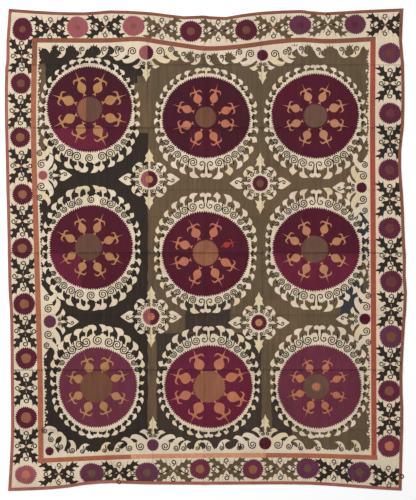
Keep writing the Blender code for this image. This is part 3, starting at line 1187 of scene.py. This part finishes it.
def silk_material(name, streak_mm, streak_length_mm, streak, wear, row_mm, roughness, sheen):
    """Laid silk: long threads side by side, so colour runs in streaks along them.

    Real threads are under 1 mm wide and would not show, so the streaks and the rows in which
    the threads are couched down are drawn some five to ten times as coarse.
    """
    material, shader = new_material(name, roughness, sheen, 0.15)
    tree = material.node_tree
    shader.inputs["Sheen Roughness"].default_value = 0.4

    dye = add_node(tree, "ShaderNodeAttribute", {"attribute_name": "dye"})
    crease_shade = add_node(tree, "ShaderNodeAttribute", {"attribute_name": "crease_shade"})
    place = add_node(tree, "ShaderNodeTexCoord")
    across, along = 1 / (streak_mm * MM), 1 / (streak_length_mm * MM)
    fine = add_node(
        tree, "ShaderNodeMapping", {"Scale": (across, along, along)},
        {"Vector": place.outputs["Object"]})
    threads = add_node(
        tree, "ShaderNodeTexNoise", {"Scale": 1.0, "Detail": 3.0, "Roughness": 0.6},
        {"Vector": fine.outputs["Vector"]})
    broad = add_node(
        tree, "ShaderNodeMapping", {"Scale": (across / 4, along / 2, along / 2)},
        {"Vector": place.outputs["Object"]})
    skeins = add_node(
        tree, "ShaderNodeTexNoise", {"Scale": 1.0, "Detail": 2.0},
        {"Vector": broad.outputs["Vector"]})
    fading = add_node(
        tree, "ShaderNodeTexNoise", {"Scale": 5.0, "Detail": 3.0},
        {"Vector": place.outputs["Object"]})
    # Painted shade along the fold lines: where the crease shade is 1 the colour is darkened to a
    # quarter.
    crease_darkening = add_node(
        tree, "ShaderNodeMath", {"operation": "MULTIPLY_ADD", 1: -0.75, 2: 1.0},
        {0: crease_shade.outputs["Fac"]})
    toned = toned_by(
        tree, dye.outputs["Color"],
        ((threads, 1 - streak, 1 + streak), (skeins, 1 - streak, 1 + streak),
         (fading, 0.92, 1.09)),
        crease_darkening.outputs["Value"])
    worn = add_node(
        tree, "ShaderNodeMapRange",
        {"From Min": 0.62, "From Max": 0.80, "To Min": 0.0, "To Max": wear},
        {"Value": threads.outputs["Fac"]})
    colour = add_node(
        tree, "ShaderNodeMix", {"data_type": "RGBA", MIX_B: dyed("bare_ground")},
        {MIX_FACTOR: worn.outputs["Result"], MIX_A: toned})
    tree.links.new(colour.outputs[MIX_RESULT], shader.inputs["Base Color"])

    rows = add_node(
        tree, "ShaderNodeTexWave",
        {"wave_type": "BANDS", "bands_direction": "X", "Scale": BAND_SCALE / (row_mm * MM),
         "Distortion": 1.5, "Detail": 1.0},
        {"Vector": place.outputs["Object"]})
    bump = add_node(
        tree, "ShaderNodeBump", {"Strength": 0.35, "Distance": 0.4 * MM},
        {"Height": rows.outputs["Fac"]})
    grain = add_node(
        tree, "ShaderNodeBump", {"Strength": 0.5, "Distance": 0.5 * MM},
        {"Height": threads.outputs["Fac"], "Normal": bump.outputs["Normal"]})
    tree.links.new(grain.outputs["Normal"], shader.inputs["Normal"])
    return material


def cotton_material(name, colour, thread_mm, contrast):
    """Plain woven cotton: matt, a little mottled, with a fine even grain of threads.

    Real threads are about 0.5 mm apart, and the grain is drawn about ten times as coarse.
    """
    material, shader = new_material(name, 0.85, 0.1, 0.2)
    tree = material.node_tree
    place = add_node(tree, "ShaderNodeTexCoord")
    grid = add_node(
        tree, "ShaderNodeMapping", {"Scale": (1 / (thread_mm * MM),) * 3},
        {"Vector": place.outputs["Object"]})
    weave = add_node(
        tree, "ShaderNodeTexNoise", {"Scale": 1.0, "Detail": 1.0},
        {"Vector": grid.outputs["Vector"]})
    mottle = add_node(
        tree, "ShaderNodeTexNoise", {"Scale": 14.0, "Detail": 4.0},
        {"Vector": place.outputs["Object"]})
    cloth = add_node(tree, "ShaderNodeRGB")
    cloth.outputs["Color"].default_value = colour
    toned = toned_by(
        tree, cloth.outputs["Color"],
        ((weave, 1 - contrast, 1 + contrast), (mottle, 0.84, 1.18)))
    tree.links.new(toned, shader.inputs["Base Color"])
    bump = add_node(
        tree, "ShaderNodeBump", {"Strength": 0.5, "Distance": 0.3 * MM},
        {"Height": weave.outputs["Fac"]})
    tree.links.new(bump.outputs["Normal"], shader.inputs["Normal"])
    return material


# Silk by kind of stitching: name of the material, streak width and length in mm, streak
# contrast, share of worn threads, row spacing in mm, roughness, sheen.
STITCHES = {
    # Cream laid silk: even and soft, in short runs, so it looks almost plain.
    "ground": ("laid_cream_silk", 5.0, 40.0, 0.05, 0.10, 9.87, 0.68, 0.02),
    # Dark laid silk: long upright runs with strong streaks, the cotton showing where it is worn.
    "field": ("laid_field_silk", 5.0, 160.0, 0.13, 0.35, 9.87, 0.68, 0.02),
    # Crimson and purple laid silk: a little smoother, with long streaks of two shades.
    "medallion": ("laid_crimson_silk", 5.0, 110.0, 0.10, 0.10, 9.87, 0.62, 0.02),
    # Satin stitch: short threads side by side, with a fine close streak.
    "fruit": ("satin_stitch_silk", 4.0, 26.0, 0.08, 0.08, 9.87, 0.62, 0.02),
    # Chain stitch worked in bands: broken into short dashes of slightly different shade.
    "stripe": ("chain_stripe_silk", 5.0, 16.0, 0.09, 0.12, 9.87, 0.68, 0.02),
}
THREADS = (
    # A cord of chain stitch: dull and dark, hardly streaked.
    ("chain_line_silk", 6.0, 6.0, 0.08, 0.0, 7.90, 0.75, 0.0),
    # Twisted cotton thread: dull, each stitch of nearly one shade.
    ("sewing_thread", 3.0, 6.0, 0.08, 0.0, 7.90, 0.75, 0.0),
)

# Woven cotton: dye setting, grain in mm, contrast.
COTTONS = {
    # Faded madder-red strip: flat colour with a faint check.
    "cotton_binding": ("binding", 5.0, 0.10),
    # The same strip where it has gone browner.
    "cotton_binding_dark": ("binding_dark", 5.0, 0.10),
    # Undyed cotton: pale, plain and even.
    "cotton_backing": ("backing", 4.0, 0.06),
}


def material_called(name):
    """A material made once: silk or thread by its row of settings, or woven cotton."""
    found = bpy.data.materials.get(name)
    if found:
        return found
    for row in (*STITCHES.values(), *THREADS):
        if row[0] == name:
            return silk_material(*row)
    dye, thread_mm, contrast = COTTONS[name]
    return cotton_material(name, dyed(dye), thread_mm, contrast)


# ---------------------------------------------------------------- embroidered panels

def inner_points(box, step, draw):
    """Loose points over a panel, closer together along the storage folds."""
    left, right, bottom, top = box
    points = []
    rows = math.ceil((top - bottom) / (step * 0.87))
    for row in range(rows):
        y = bottom + (row + 0.5) * (top - bottom) / rows
        shift = step / 2 if row % 2 else 0.0
        x = left + shift
        while x < right:
            points.append(Vector((
                x + draw.uniform(-0.15, 0.15) * step, y + draw.uniform(-0.15, 0.15) * step)))
            x += step
    for folds, across in ((FOLDS_ACROSS, True), (FOLDS_LENGTHWISE, False)):
        start, stop = (left, right) if across else (bottom, top)
        low, high = (bottom, top) if across else (left, right)
        for line in (line for line, _, _ in folds if low < line < high):
            for offset in CREASE_ROWS:
                along = start + step / 2
                while along < stop:
                    place = (along, line + offset) if across else (line + offset, along)
                    points.append(Vector(place))
                    along += PATH_STEP
    return points


def away_from(outline, points):
    """Points that keep clear of a panel's edge, so that no sliver forms along it."""
    ends = np.array([tuple(point) for point in outline])
    starts = np.roll(ends, 1, axis=0)
    places = np.array([tuple(point) for point in points])
    clear = np.full(len(points), 1.0)
    for start, end in zip(starts, ends):
        step = end - start
        share = np.clip(((places - start) @ step) / (step @ step), 0.0, 1.0)
        gap = np.linalg.norm(places - start - share[:, None] * step, axis=1)
        clear = np.minimum(clear, gap)
    return [point for point, gap in zip(points, clear) if gap > EDGE_CLEARANCE]


def showing_areas(patches, places):
    """For each place, the number of the stitched area that shows there, or -1 on the ground.

    A dye lot shows only inside the stitching that it belongs to.
    """
    count = len(places)
    shown = np.full(count, -1)
    below = np.full(count, "ground", dtype=object)
    for index, patch in enumerate(patches):
        low_x, high_x, low_y, high_y = box_of(patch.outline)
        near = np.nonzero(
            (places[:, 0] > low_x) & (places[:, 0] < high_x)
            & (places[:, 1] > low_y) & (places[:, 1] < high_y))[0]
        covered = near[inside(patch.outline, places[near])]
        if patch.within:
            covered = covered[below[covered] == patch.within]
        else:
            whole_disc = patch.stitch == "medallion" and isinstance(patch.dye, str)
            below[covered] = patch.dye if whole_disc else patch.stitch
        shown[covered] = index
    return shown


def build_panel(node, design, cloth):
    """One loom width: a closed sheet divided along the outlines of its motifs."""
    outline = top_outline(node)
    left, right, bottom, top = box_of(outline)
    draw = random.Random(len(node))
    corners, faces, patches = list(outline), [list(range(len(outline)))], []
    for patch in design.patches:
        low_x, high_x, low_y, high_y = box_of(patch.outline)
        if high_x < left or low_x > right or high_y < bottom or low_y > top:
            continue
        start = len(corners)
        corners += patch.outline
        faces.append(list(range(start, len(corners))))
        patches.append(patch)
    corners += away_from(outline, inner_points((left, right, bottom, top), cloth.mesh_step, draw))
    verts, _, tris, *_ = delaunay_2d_cdt(
        corners, [], faces, WHOLE_HULL, SMALLEST_GAP, True)
    flat = np.array([(p.x, p.y) for p in verts])
    middles = flat[np.array(tris)].mean(axis=1)
    kept = np.nonzero(inside(outline, middles))[0]
    shown = showing_areas(patches, middles[kept])

    shape = bmesh.new()
    dye_layer = shape.loops.layers.float_color.new("dye")
    crease_shade_layer = shape.verts.layers.float.new("crease_shade")
    slots = list(STITCHES)
    top_verts, looks = {}, {}
    for number, area in zip(kept, shown):
        patch = patches[area] if area >= 0 else None
        stitch = patch.stitch if patch else "ground"
        dye = patch.dye_on(node) if patch else "cream"
        for index in tris[number]:
            looks.setdefault(index, set()).add((stitch, dye))
            if index not in top_verts:
                x, y = verts[index]
                top_verts[index] = shape.verts.new((x, y, 0.0))
                # Painted shade along the fold lines, kept on each point for the silk to darken by.
                top_verts[index][crease_shade_layer] = fold_crease_shade(x, y)
        face = shape.faces.new([top_verts[index] for index in tris[number]])
        face.material_index = slots.index(stitch)
        face.smooth = True
        for loop in face.loops:
            loop[dye_layer] = dyed(dye)
    for index, vert in top_verts.items():
        x, y = vert.co.xy
        raised = cloth.relief * (0.75 + 0.5 * noise.noise((x * 30, y * 30, 3)))
        pad = raised if len(looks[index]) == 1 and not vert.is_boundary else 0.0
        vert.co.z = fold_height(x, y) + cloth.thickness - SEWN_DOWN + pad
    close_below(shape, dye_layer, len(slots))
    finish_sheet(shape, node)


def close_below(shape, dye_layer, backing):
    """Adds the plain back of the cloth and the thin wall between back and face."""
    rim = [edge for edge in shape.edges if edge.is_boundary]
    follow = {}
    for edge in rim:
        loop = edge.link_loops[0]
        follow[loop.vert] = loop.link_loop_next.vert
    ring = walk_round(follow, rim[0].verts[0])
    places = [vert.co.xy.copy() for vert in ring]
    left, right, bottom, top = box_of(places)
    spots = list(places)
    for y in stations(FOLDS_ACROSS, bottom, top):
        for x in stations(FOLDS_LENGTHWISE, left, right):
            spots.append(Vector((x, y)))
    verts, _, tris, sources, _, owners = delaunay_2d_cdt(
        spots, [], [list(range(len(places)))], WHOLE_HULL, SMALLEST_GAP, True)
    below = [shape.verts.new((x, y, fold_height(x, y))) for x, y in verts]
    under = {}
    for index, source in enumerate(sources):
        for original in source:
            if original < len(ring):
                under[original] = below[index]
    added = []
    for tri, ids in zip(tris, owners):
        if 0 in ids:
            added.append(shape.faces.new([below[index] for index in reversed(tri)]))
    for index, vert in enumerate(ring):
        after = (index + 1) % len(ring)
        added.append(shape.faces.new((vert, under[index], under[after], ring[after])))
    for face in added:
        face.material_index = backing
        for loop in face.loops:
            loop[dye_layer] = dyed("backing")
    for vert in [v for v in shape.verts if not v.link_faces]:
        shape.verts.remove(vert)


def stations(folds, low, high):
    """Places across a panel's back: even steps, and five across each fold."""
    marks = [low + (high - low) * step / BACK_STEPS for step in range(1, BACK_STEPS)]
    for line, _, _ in folds:
        for share in FOLD_SHARES:
            if low < line + share * FOLD_REACH < high:
                marks.append(line + share * FOLD_REACH)
    return sorted(marks)


def finish_sheet(shape, node):
    """Turns a panel's shape into the piece that stands for its CAD node."""
    name = node + "_embroidery"
    mesh = bpy.data.meshes.new(name)
    bmesh.ops.recalc_face_normals(shape, faces=shape.faces)
    shape.to_mesh(mesh)
    shape.free()
    for row in STITCHES.values():
        mesh.materials.append(material_called(row[0]))
    mesh.materials.append(material_called("cotton_backing"))
    mesh.set_sharp_from_angle(angle=SHARP_EDGE)
    piece = new_object(name, mesh)
    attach(piece, "root")
    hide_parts(node)


def new_object(name, data):
    """An object of its own in the scene, at the origin."""
    made = bpy.data.objects.new(name, data)
    bpy.context.scene.collection.objects.link(made)
    return made


# ---------------------------------------------------------------- binding

def strip_sides(node):
    """The two long sides of a CAD binding strip, each as points in the same order."""
    loop = top_outline(node)
    corner = min(range(len(loop)), key=lambda index: loop[index].x + loop[index].y)
    low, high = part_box(node)
    if high.y - low.y > high.x - low.x:
        corner += 1
    loop = loop[corner:] + loop[:corner]
    half = len(loop) // 2
    return loop[:half], list(reversed(loop[half:]))


def spaced_pairs(first, second, step):
    """Matching points along two sides, at even steps between their corners."""
    pairs = [(first[0], second[0])]
    for index in range(1, len(first)):
        length = (first[index] - first[index - 1]).length
        pieces = max(1, round(length / step))
        for piece in range(1, pieces + 1):
            share = piece / pieces
            pairs.append((
                first[index - 1].lerp(first[index], share),
                second[index - 1].lerp(second[index], share)))
    return pairs


PUCKER = 0.12 * MM

# Section of the folded strip: (share of the way across, share of its thickness).
FOLDED_SECTION = (
    (0.0, 0.45), (0.03, 0.80), (0.10, 0.98), (0.30, 0.92), (0.55, 0.97), (0.80, 1.0),
    (0.90, 0.98), (0.97, 0.80), (1.0, 0.45),
)


def build_binding(node, thread):
    """A cotton strip folded over the cloth's edge, thick and rounded along both sides."""
    first, second = strip_sides(node)
    shape = bmesh.new()
    rows = []
    for one, other in spaced_pairs(first, second, PATH_STEP):
        above, below = [], []
        for share, level in FOLDED_SECTION:
            place = one.lerp(other, share)
            base = fold_height(place.x, place.y)
            pucker = PUCKER * noise.noise((place.x * 70, place.y * 70, 5))
            height = base + level * (thread.binding_thickness + pucker)
            above.append(shape.verts.new((place.x, place.y, height)))
            below.append(shape.verts.new((place.x, place.y, base)))
        rows.append((above, below))
    last = len(FOLDED_SECTION) - 1
    for (above, below), (next_above, next_below) in zip(rows, rows[1:]):
        for index in range(last):
            shape.faces.new((
                above[index], above[index + 1], next_above[index + 1], next_above[index]))
            shape.faces.new((
                below[index], next_below[index], next_below[index + 1], below[index + 1]))
        shape.faces.new((above[0], next_above[0], next_below[0], below[0]))
        shape.faces.new((above[last], below[last], next_below[last], next_above[last]))
    for above, below in (rows[0], rows[-1]):
        for index in range(last):
            shape.faces.new((above[index], below[index], below[index + 1], above[index + 1]))
    bmesh.ops.recalc_face_normals(shape, faces=shape.faces)
    name = node + "_strip"
    mesh = bpy.data.meshes.new(name)
    shape.to_mesh(mesh)
    shape.free()
    mesh.shade_smooth()
    cotton = "cotton_binding_dark" if node in DARK_BINDINGS else "cotton_binding"
    mesh.materials.append(material_called(cotton))
    mesh.set_sharp_from_angle(angle=SHARP_EDGE)
    piece = new_object(name, mesh)
    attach(piece, "root")
    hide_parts(node)


# ---------------------------------------------------------------- geometry nodes

# Places of a Random Value node's sockets for plain numbers, and the most that a stitch leans
# either way from its slant.
RANDOM_LEAST, RANDOM_GREATEST, RANDOM_NUMBER = 2, 3, 1
STITCH_JITTER = 0.16


def start_tree(name, inputs):
    """A Geometry Nodes tree with named inputs; gives the tree, its two ends and its sockets."""
    tree = bpy.data.node_groups.new(name, "GeometryNodeTree")
    tree.interface.new_socket("Geometry", in_out="INPUT", socket_type="NodeSocketGeometry")
    sockets = {}
    for label, kind, value in inputs:
        socket = tree.interface.new_socket(label, in_out="INPUT", socket_type=kind)
        if value is not None:
            socket.default_value = value
        sockets[label] = socket.identifier
    tree.interface.new_socket("Geometry", in_out="OUTPUT", socket_type="NodeSocketGeometry")
    entry = add_node(tree, "NodeGroupInput")
    leave = add_node(tree, "NodeGroupOutput")
    return tree, entry, leave, sockets


def end_tree(tree, leave, geometry, material_socket):
    """Ends a tree in Realize Instances and Set Material."""
    real = add_node(tree, "GeometryNodeRealizeInstances", {}, {"Geometry": geometry})
    finish = add_node(
        tree, "GeometryNodeSetMaterial", {},
        {"Geometry": real.outputs["Geometry"], "Material": material_socket})
    tree.links.new(finish.outputs["Geometry"], leave.inputs["Geometry"])


def line_tree():
    """Chain-stitched lines: each curve becomes a round cord with a bulge at every stitch, flattened
    after the tree has run.
    """
    tree, entry, leave, sockets = start_tree("Chain stitch line", (
        ("Stitch Length", "NodeSocketFloat", 0.007), ("Line Radius", "NodeSocketFloat", 0.002),
        ("Thread", "NodeSocketMaterial", None)))
    spaced = add_node(
        tree, "GeometryNodeResampleCurve", {"mode": "LENGTH"},
        {"Curve": entry.outputs["Geometry"], "Length": entry.outputs["Stitch Length"]})
    number = add_node(tree, "GeometryNodeInputIndex")
    odd = add_node(
        tree, "ShaderNodeMath", {"operation": "MODULO", 1: 2.0}, {0: number.outputs["Index"]})
    bulge = add_node(
        tree, "ShaderNodeMath", {"operation": "MULTIPLY_ADD", 1: 0.22, 2: 0.9},
        {0: odd.outputs["Value"]})
    width = add_node(
        tree, "ShaderNodeMath", {"operation": "MULTIPLY"},
        {0: bulge.outputs["Value"], 1: entry.outputs["Line Radius"]})
    ring = add_node(tree, "GeometryNodeCurvePrimitiveCircle", {"Resolution": 5, "Radius": 1.0})
    cord = add_node(
        tree, "GeometryNodeCurveToMesh", {"Fill Caps": True},
        {"Curve": spaced.outputs["Curve"], "Profile Curve": ring.outputs["Curve"],
         "Scale": width.outputs["Value"]})
    smooth = add_node(
        tree, "GeometryNodeSetShadeSmooth", {}, {"Geometry": cord.outputs["Mesh"]})
    end_tree(tree, leave, smooth.outputs["Geometry"], entry.outputs["Thread"])
    return tree, sockets


def stitch_tree():
    """Short slanted stitches, one at every step along a curve, none quite like the next."""
    tree, entry, leave, sockets = start_tree("Row of stitches", (
        ("Pitch", "NodeSocketFloat", 0.008), ("Stitch Length", "NodeSocketFloat", 0.006),
        ("Stitch Radius", "NodeSocketFloat", 0.0008), ("Slant", "NodeSocketFloat", 1.2),
        ("Seed", "NodeSocketInt", STITCH_SEED), ("Thread", "NodeSocketMaterial", None)))
    spaced = add_node(
        tree, "GeometryNodeResampleCurve", {"mode": "LENGTH"},
        {"Curve": entry.outputs["Geometry"], "Length": entry.outputs["Pitch"]})
    points = add_node(
        tree, "GeometryNodeCurveToPoints", {"mode": "EVALUATED"},
        {"Curve": spaced.outputs["Curve"]})
    half = add_node(
        tree, "ShaderNodeMath", {"operation": "MULTIPLY", 1: 0.5},
        {0: entry.outputs["Stitch Length"]})
    bead = add_node(
        tree, "GeometryNodeMeshUVSphere", {"Segments": 6, "Rings": 4, "Radius": 1.0})
    size = add_node(
        tree, "ShaderNodeCombineXYZ", {},
        {"X": entry.outputs["Stitch Radius"], "Y": entry.outputs["Stitch Radius"],
         "Z": half.outputs["Value"]})
    shaped = add_node(
        tree, "GeometryNodeTransform", {},
        {"Geometry": bead.outputs["Mesh"], "Scale": size.outputs["Vector"]})
    jitter = add_node(
        tree, "FunctionNodeRandomValue",
        {"data_type": "FLOAT", RANDOM_LEAST: -STITCH_JITTER, RANDOM_GREATEST: STITCH_JITTER},
        {"Seed": entry.outputs["Seed"]})
    slant = add_node(
        tree, "ShaderNodeMath", {"operation": "ADD"},
        {0: entry.outputs["Slant"], 1: jitter.outputs[RANDOM_NUMBER]})
    turned = add_node(
        tree, "ShaderNodeVectorRotate", {"rotation_type": "Z_AXIS"},
        {"Vector": points.outputs["Tangent"], "Angle": slant.outputs["Value"]})
    aim = add_node(
        tree, "FunctionNodeAlignRotationToVector", {"axis": "Z"},
        {"Vector": turned.outputs["Vector"]})
    placed_stitches = add_node(
        tree, "GeometryNodeInstanceOnPoints", {},
        {"Points": points.outputs["Points"], "Instance": shaped.outputs["Geometry"],
         "Rotation": aim.outputs["Rotation"]})
    smooth = add_node(
        tree, "GeometryNodeSetShadeSmooth", {}, {"Geometry": placed_stitches.outputs["Instances"]})
    end_tree(tree, leave, smooth.outputs["Geometry"], entry.outputs["Thread"])
    return tree, sockets


def curves_object(name, paths):
    """A curve object with one open run of straight steps for each path."""
    data = bpy.data.curves.new(name, "CURVE")
    data.dimensions = "3D"
    for path in paths:
        run = data.splines.new("POLY")
        run.points.add(len(path) - 1)
        for point, place in zip(run.points, path):
            point.co = (*place, 1.0)
    return new_object(name, data)


def grown(source, name, tree, values):
    """Runs a tree on an object and gives the result as a plain mesh object."""
    modifier = source.modifiers.new("Stitches", "NODES")
    modifier.node_group = tree
    for identifier, value in values:
        modifier[identifier] = value
    source.update_tag()
    bpy.context.view_layer.update()
    mesh = bpy.data.meshes.new_from_object(
        source.evaluated_get(bpy.context.evaluated_depsgraph_get()))
    mesh.name = name
    source.modifiers.remove(modifier)
    bpy.data.objects.remove(source)
    if not mesh.polygons:
        raise RuntimeError(f"{name} came out empty")
    return new_object(name, mesh)


def colour_all(piece, dye_name):
    """Gives every corner of a piece the same dye and no painted crease shade."""
    mesh = piece.data
    layer = mesh.attributes.new("dye", "FLOAT_COLOR", "CORNER")
    layer.data.foreach_set("color", dyed(dye_name) * len(mesh.loops))
    mesh.attributes.new("crease_shade", "FLOAT", "POINT")


# ---------------------------------------------------------------- operators

class SUZANI_OT_panels(bpy.types.Operator):
    """Embroiders the three loom widths"""
    bl_idname = "suzani.panels"
    bl_label = "Embroidered panels"

    def execute(self, context):
        scene = context.scene
        design = make_design(scene.suzani_motifs)
        for node in PANELS:
            build_panel(node, design, scene.suzani_cloth)
        return {"FINISHED"}


class SUZANI_OT_lines(bpy.types.Operator):
    """Works the curled lines in chain stitch"""
    bl_idname = "suzani.lines"
    bl_label = "Curled lines"

    def execute(self, context):
        thread, cloth = context.scene.suzani_thread, context.scene.suzani_cloth
        design = make_design(context.scene.suzani_motifs)
        tree, sockets = line_tree()
        for node in PANELS:
            low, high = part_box(node)
            mine = []
            for line in design.lines:
                middle = sum(p.x for p in line) / len(line)
                if low.x <= middle < high.x:
                    mine.append([
                        (p.x, p.y, fold_height(p.x, p.y) + cloth.thickness + LINE_LIFT)
                        for p in line])
            name = node + "_curled_lines"
            piece = grown(curves_object(name + "_paths", mine), name, tree, (
                (sockets["Stitch Length"], thread.line_step),
                (sockets["Line Radius"], thread.line_radius),
                (sockets["Thread"], material_called("chain_line_silk"))))
            for vert in piece.data.vertices:
                level = fold_height(vert.co.x, vert.co.y) + cloth.thickness + LINE_LIFT
                vert.co.z = level + (vert.co.z - level) * LINE_FLATNESS
            colour_all(piece, "line")
            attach(piece, "root")
        return {"FINISHED"}


def sewn_row(name, paths, pitch, length, radius, slant, dye_name):
    """A row of separate stitches along paths, as one piece of its own."""
    tree, sockets = stitch_tree()
    piece = grown(curves_object(name + "_paths", paths), name, tree, (
        (sockets["Pitch"], pitch), (sockets["Stitch Length"], length),
        (sockets["Stitch Radius"], radius), (sockets["Slant"], slant),
        (sockets["Seed"], STITCH_SEED), (sockets["Thread"], material_called("sewing_thread"))))
    colour_all(piece, dye_name)
    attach(piece, "root")


class SUZANI_OT_seams(bpy.types.Operator):
    """Laces the three loom widths together along their two seams"""
    bl_idname = "suzani.seams"
    bl_label = "Seam lacing"

    def execute(self, context):
        thread, cloth = context.scene.suzani_thread, context.scene.suzani_cloth
        low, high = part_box("panel_middle")
        middle = (low.x + high.x) / 2
        outline = top_outline("panel_middle")
        for side, label in ((-1, "left"), (1, "right")):
            seam = [p for p in outline if side * (p.x - middle) > 0.48 * (high.x - low.x) - 0.02]
            seam.sort(key=lambda p: p.y)
            path = []
            for here, after in zip(seam, seam[1:]):
                pieces = max(1, round((after - here).length / PATH_STEP))
                for piece in range(pieces):
                    spot = here.lerp(after, piece / pieces)
                    height = fold_height(spot.x, spot.y) + cloth.thickness + LACING_LIFT
                    path.append((spot.x, spot.y, height))
            sewn_row(
                f"seam_{label}_lacing", [path], thread.seam_pitch, thread.lacing_length,
                thread.stitch_radius, LACING_SLANT, "seam_thread")
        return {"FINISHED"}


class SUZANI_OT_binding(bpy.types.Operator):
    """Folds the cotton binding over the four edges"""
    bl_idname = "suzani.binding"
    bl_label = "Binding"

    def execute(self, context):
        for node in BINDINGS:
            build_binding(node, context.scene.suzani_thread)
        return {"FINISHED"}


class SUZANI_OT_binding_stitches(bpy.types.Operator):
    """Sews the binding down with running stitches along its inner side"""
    bl_idname = "suzani.binding_stitches"
    bl_label = "Binding stitches"

    def execute(self, context):
        thread = context.scene.suzani_thread
        paths = []
        for node in BINDINGS:
            first, second = strip_sides(node)
            share = 0.82 if node in ("binding_bottom", "binding_right") else 0.18
            path = []
            for one, other in spaced_pairs(first, second, PATH_STEP):
                spot = one.lerp(other, share)
                height = fold_height(spot.x, spot.y) + thread.binding_thickness
                path.append((spot.x, spot.y, height))
            paths.append(path[2:-2])
        sewn_row(
            "binding_running_stitches", paths, thread.binding_pitch, thread.running_length,
            thread.stitch_radius * 0.8, 0.0, "binding_thread")
        return {"FINISHED"}


# How far the floor lies below the cloth, and the view's middle from the cloth's.
FLOOR_DROP = 0.5 * MM
VIEW_SHIFT = (0.013, -0.002)

# Soft lights: name, place, width and power in watts.
LIGHTS = (
    ("broad_light", (-0.6, 1.2, 6.0), 5.0, 250.0),
    ("side_light", (-6.0, 3.4, 3.2), 2.2, 190.0),
)


class SUZANI_OT_stage(bpy.types.Operator):
    """Lays the floor and sets the light and the camera"""
    bl_idname = "suzani.stage"
    bl_label = "Stage"

    def execute(self, context):
        stage = context.scene.suzani_stage
        low, high = CAD_BOX
        floor = new_object("floor", bpy.data.meshes.new("floor"))
        reach, level = stage.floor_reach, low.z - FLOOR_DROP
        floor.data.from_pydata(
            [(x * reach, y * reach, level) for x, y in ((-1, -1), (1, -1), (1, 1), (-1, 1))],
            [], [(0, 1, 2, 3)])
        # Matt paint: one flat tone with next to no shine.
        paint, shader = new_material("matt_floor_paint", 0.9, 0.0, 0.1)
        shader.inputs["Base Color"].default_value = (*stage.floor_colour, 1.0)
        floor.data.materials.append(paint)

        centre = (low + high) / 2
        lens = bpy.data.cameras.new("camera")
        lens.sensor_fit = "VERTICAL"
        lens.sensor_height = 36.0
        lens.lens = lens.sensor_height * stage.camera_height / stage.view_height
        camera = new_object("camera", lens)
        aim_x, aim_y = VIEW_SHIFT
        camera.location = (centre.x + aim_x, centre.y + aim_y, stage.camera_height)
        context.scene.camera = camera

        for light in LIGHTS:
            add_light(*light)
        world = bpy.data.worlds.new("studio")
        world.use_nodes = True
        sky = world.node_tree.nodes["Background"]
        sky.inputs["Color"].default_value = (1, 1, 1, 1)
        sky.inputs["Strength"].default_value = stage.fill
        context.scene.world = world
        context.scene.view_settings.view_transform = "Standard"
        return {"FINISHED"}


def add_light(name, place, size, power):
    """A square soft light that faces the middle of the cloth."""
    lamp = bpy.data.lights.new(name, "AREA")
    lamp.shape = "SQUARE"
    lamp.size = size
    lamp.energy = power
    light = new_object(name, lamp)
    light.location = place
    light.rotation_euler = (-Vector(place)).to_track_quat("-Z", "Y").to_euler()


class SUZANI_PT_sidebar(bpy.types.Panel):
    """Lists the steps that make the suzani"""
    bl_idname = "SUZANI_PT_sidebar"
    bl_label = "Suzani"
    bl_space_type = "VIEW_3D"
    bl_region_type = "UI"
    bl_category = "Suzani"

    def draw(self, context):
        for step in STEPS:
            self.layout.operator(step.bl_idname)


STEPS = (
    SUZANI_OT_panels, SUZANI_OT_lines, SUZANI_OT_seams, SUZANI_OT_binding,
    SUZANI_OT_binding_stitches, SUZANI_OT_stage,
)
CLASSES = (*SETTINGS.values(), *STEPS, SUZANI_PT_sidebar)


def register():
    """Registers the classes and hangs the settings on the scene."""
    for made in CLASSES:
        bpy.utils.register_class(made)
    for name, group in SETTINGS.items():
        setattr(bpy.types.Scene, name, bpy.props.PointerProperty(type=group))


def unregister():
    """Takes the settings and the classes away again."""
    for name in SETTINGS:
        delattr(bpy.types.Scene, name)
    for made in reversed(CLASSES):
        bpy.utils.unregister_class(made)


def main():
    """Makes the suzani step by step."""
    register()
    bpy.ops.suzani.panels()
    bpy.ops.suzani.lines()
    bpy.ops.suzani.seams()
    bpy.ops.suzani.binding()
    bpy.ops.suzani.binding_stitches()
    bpy.ops.suzani.stage()


if __name__ == "__main__":
    main()
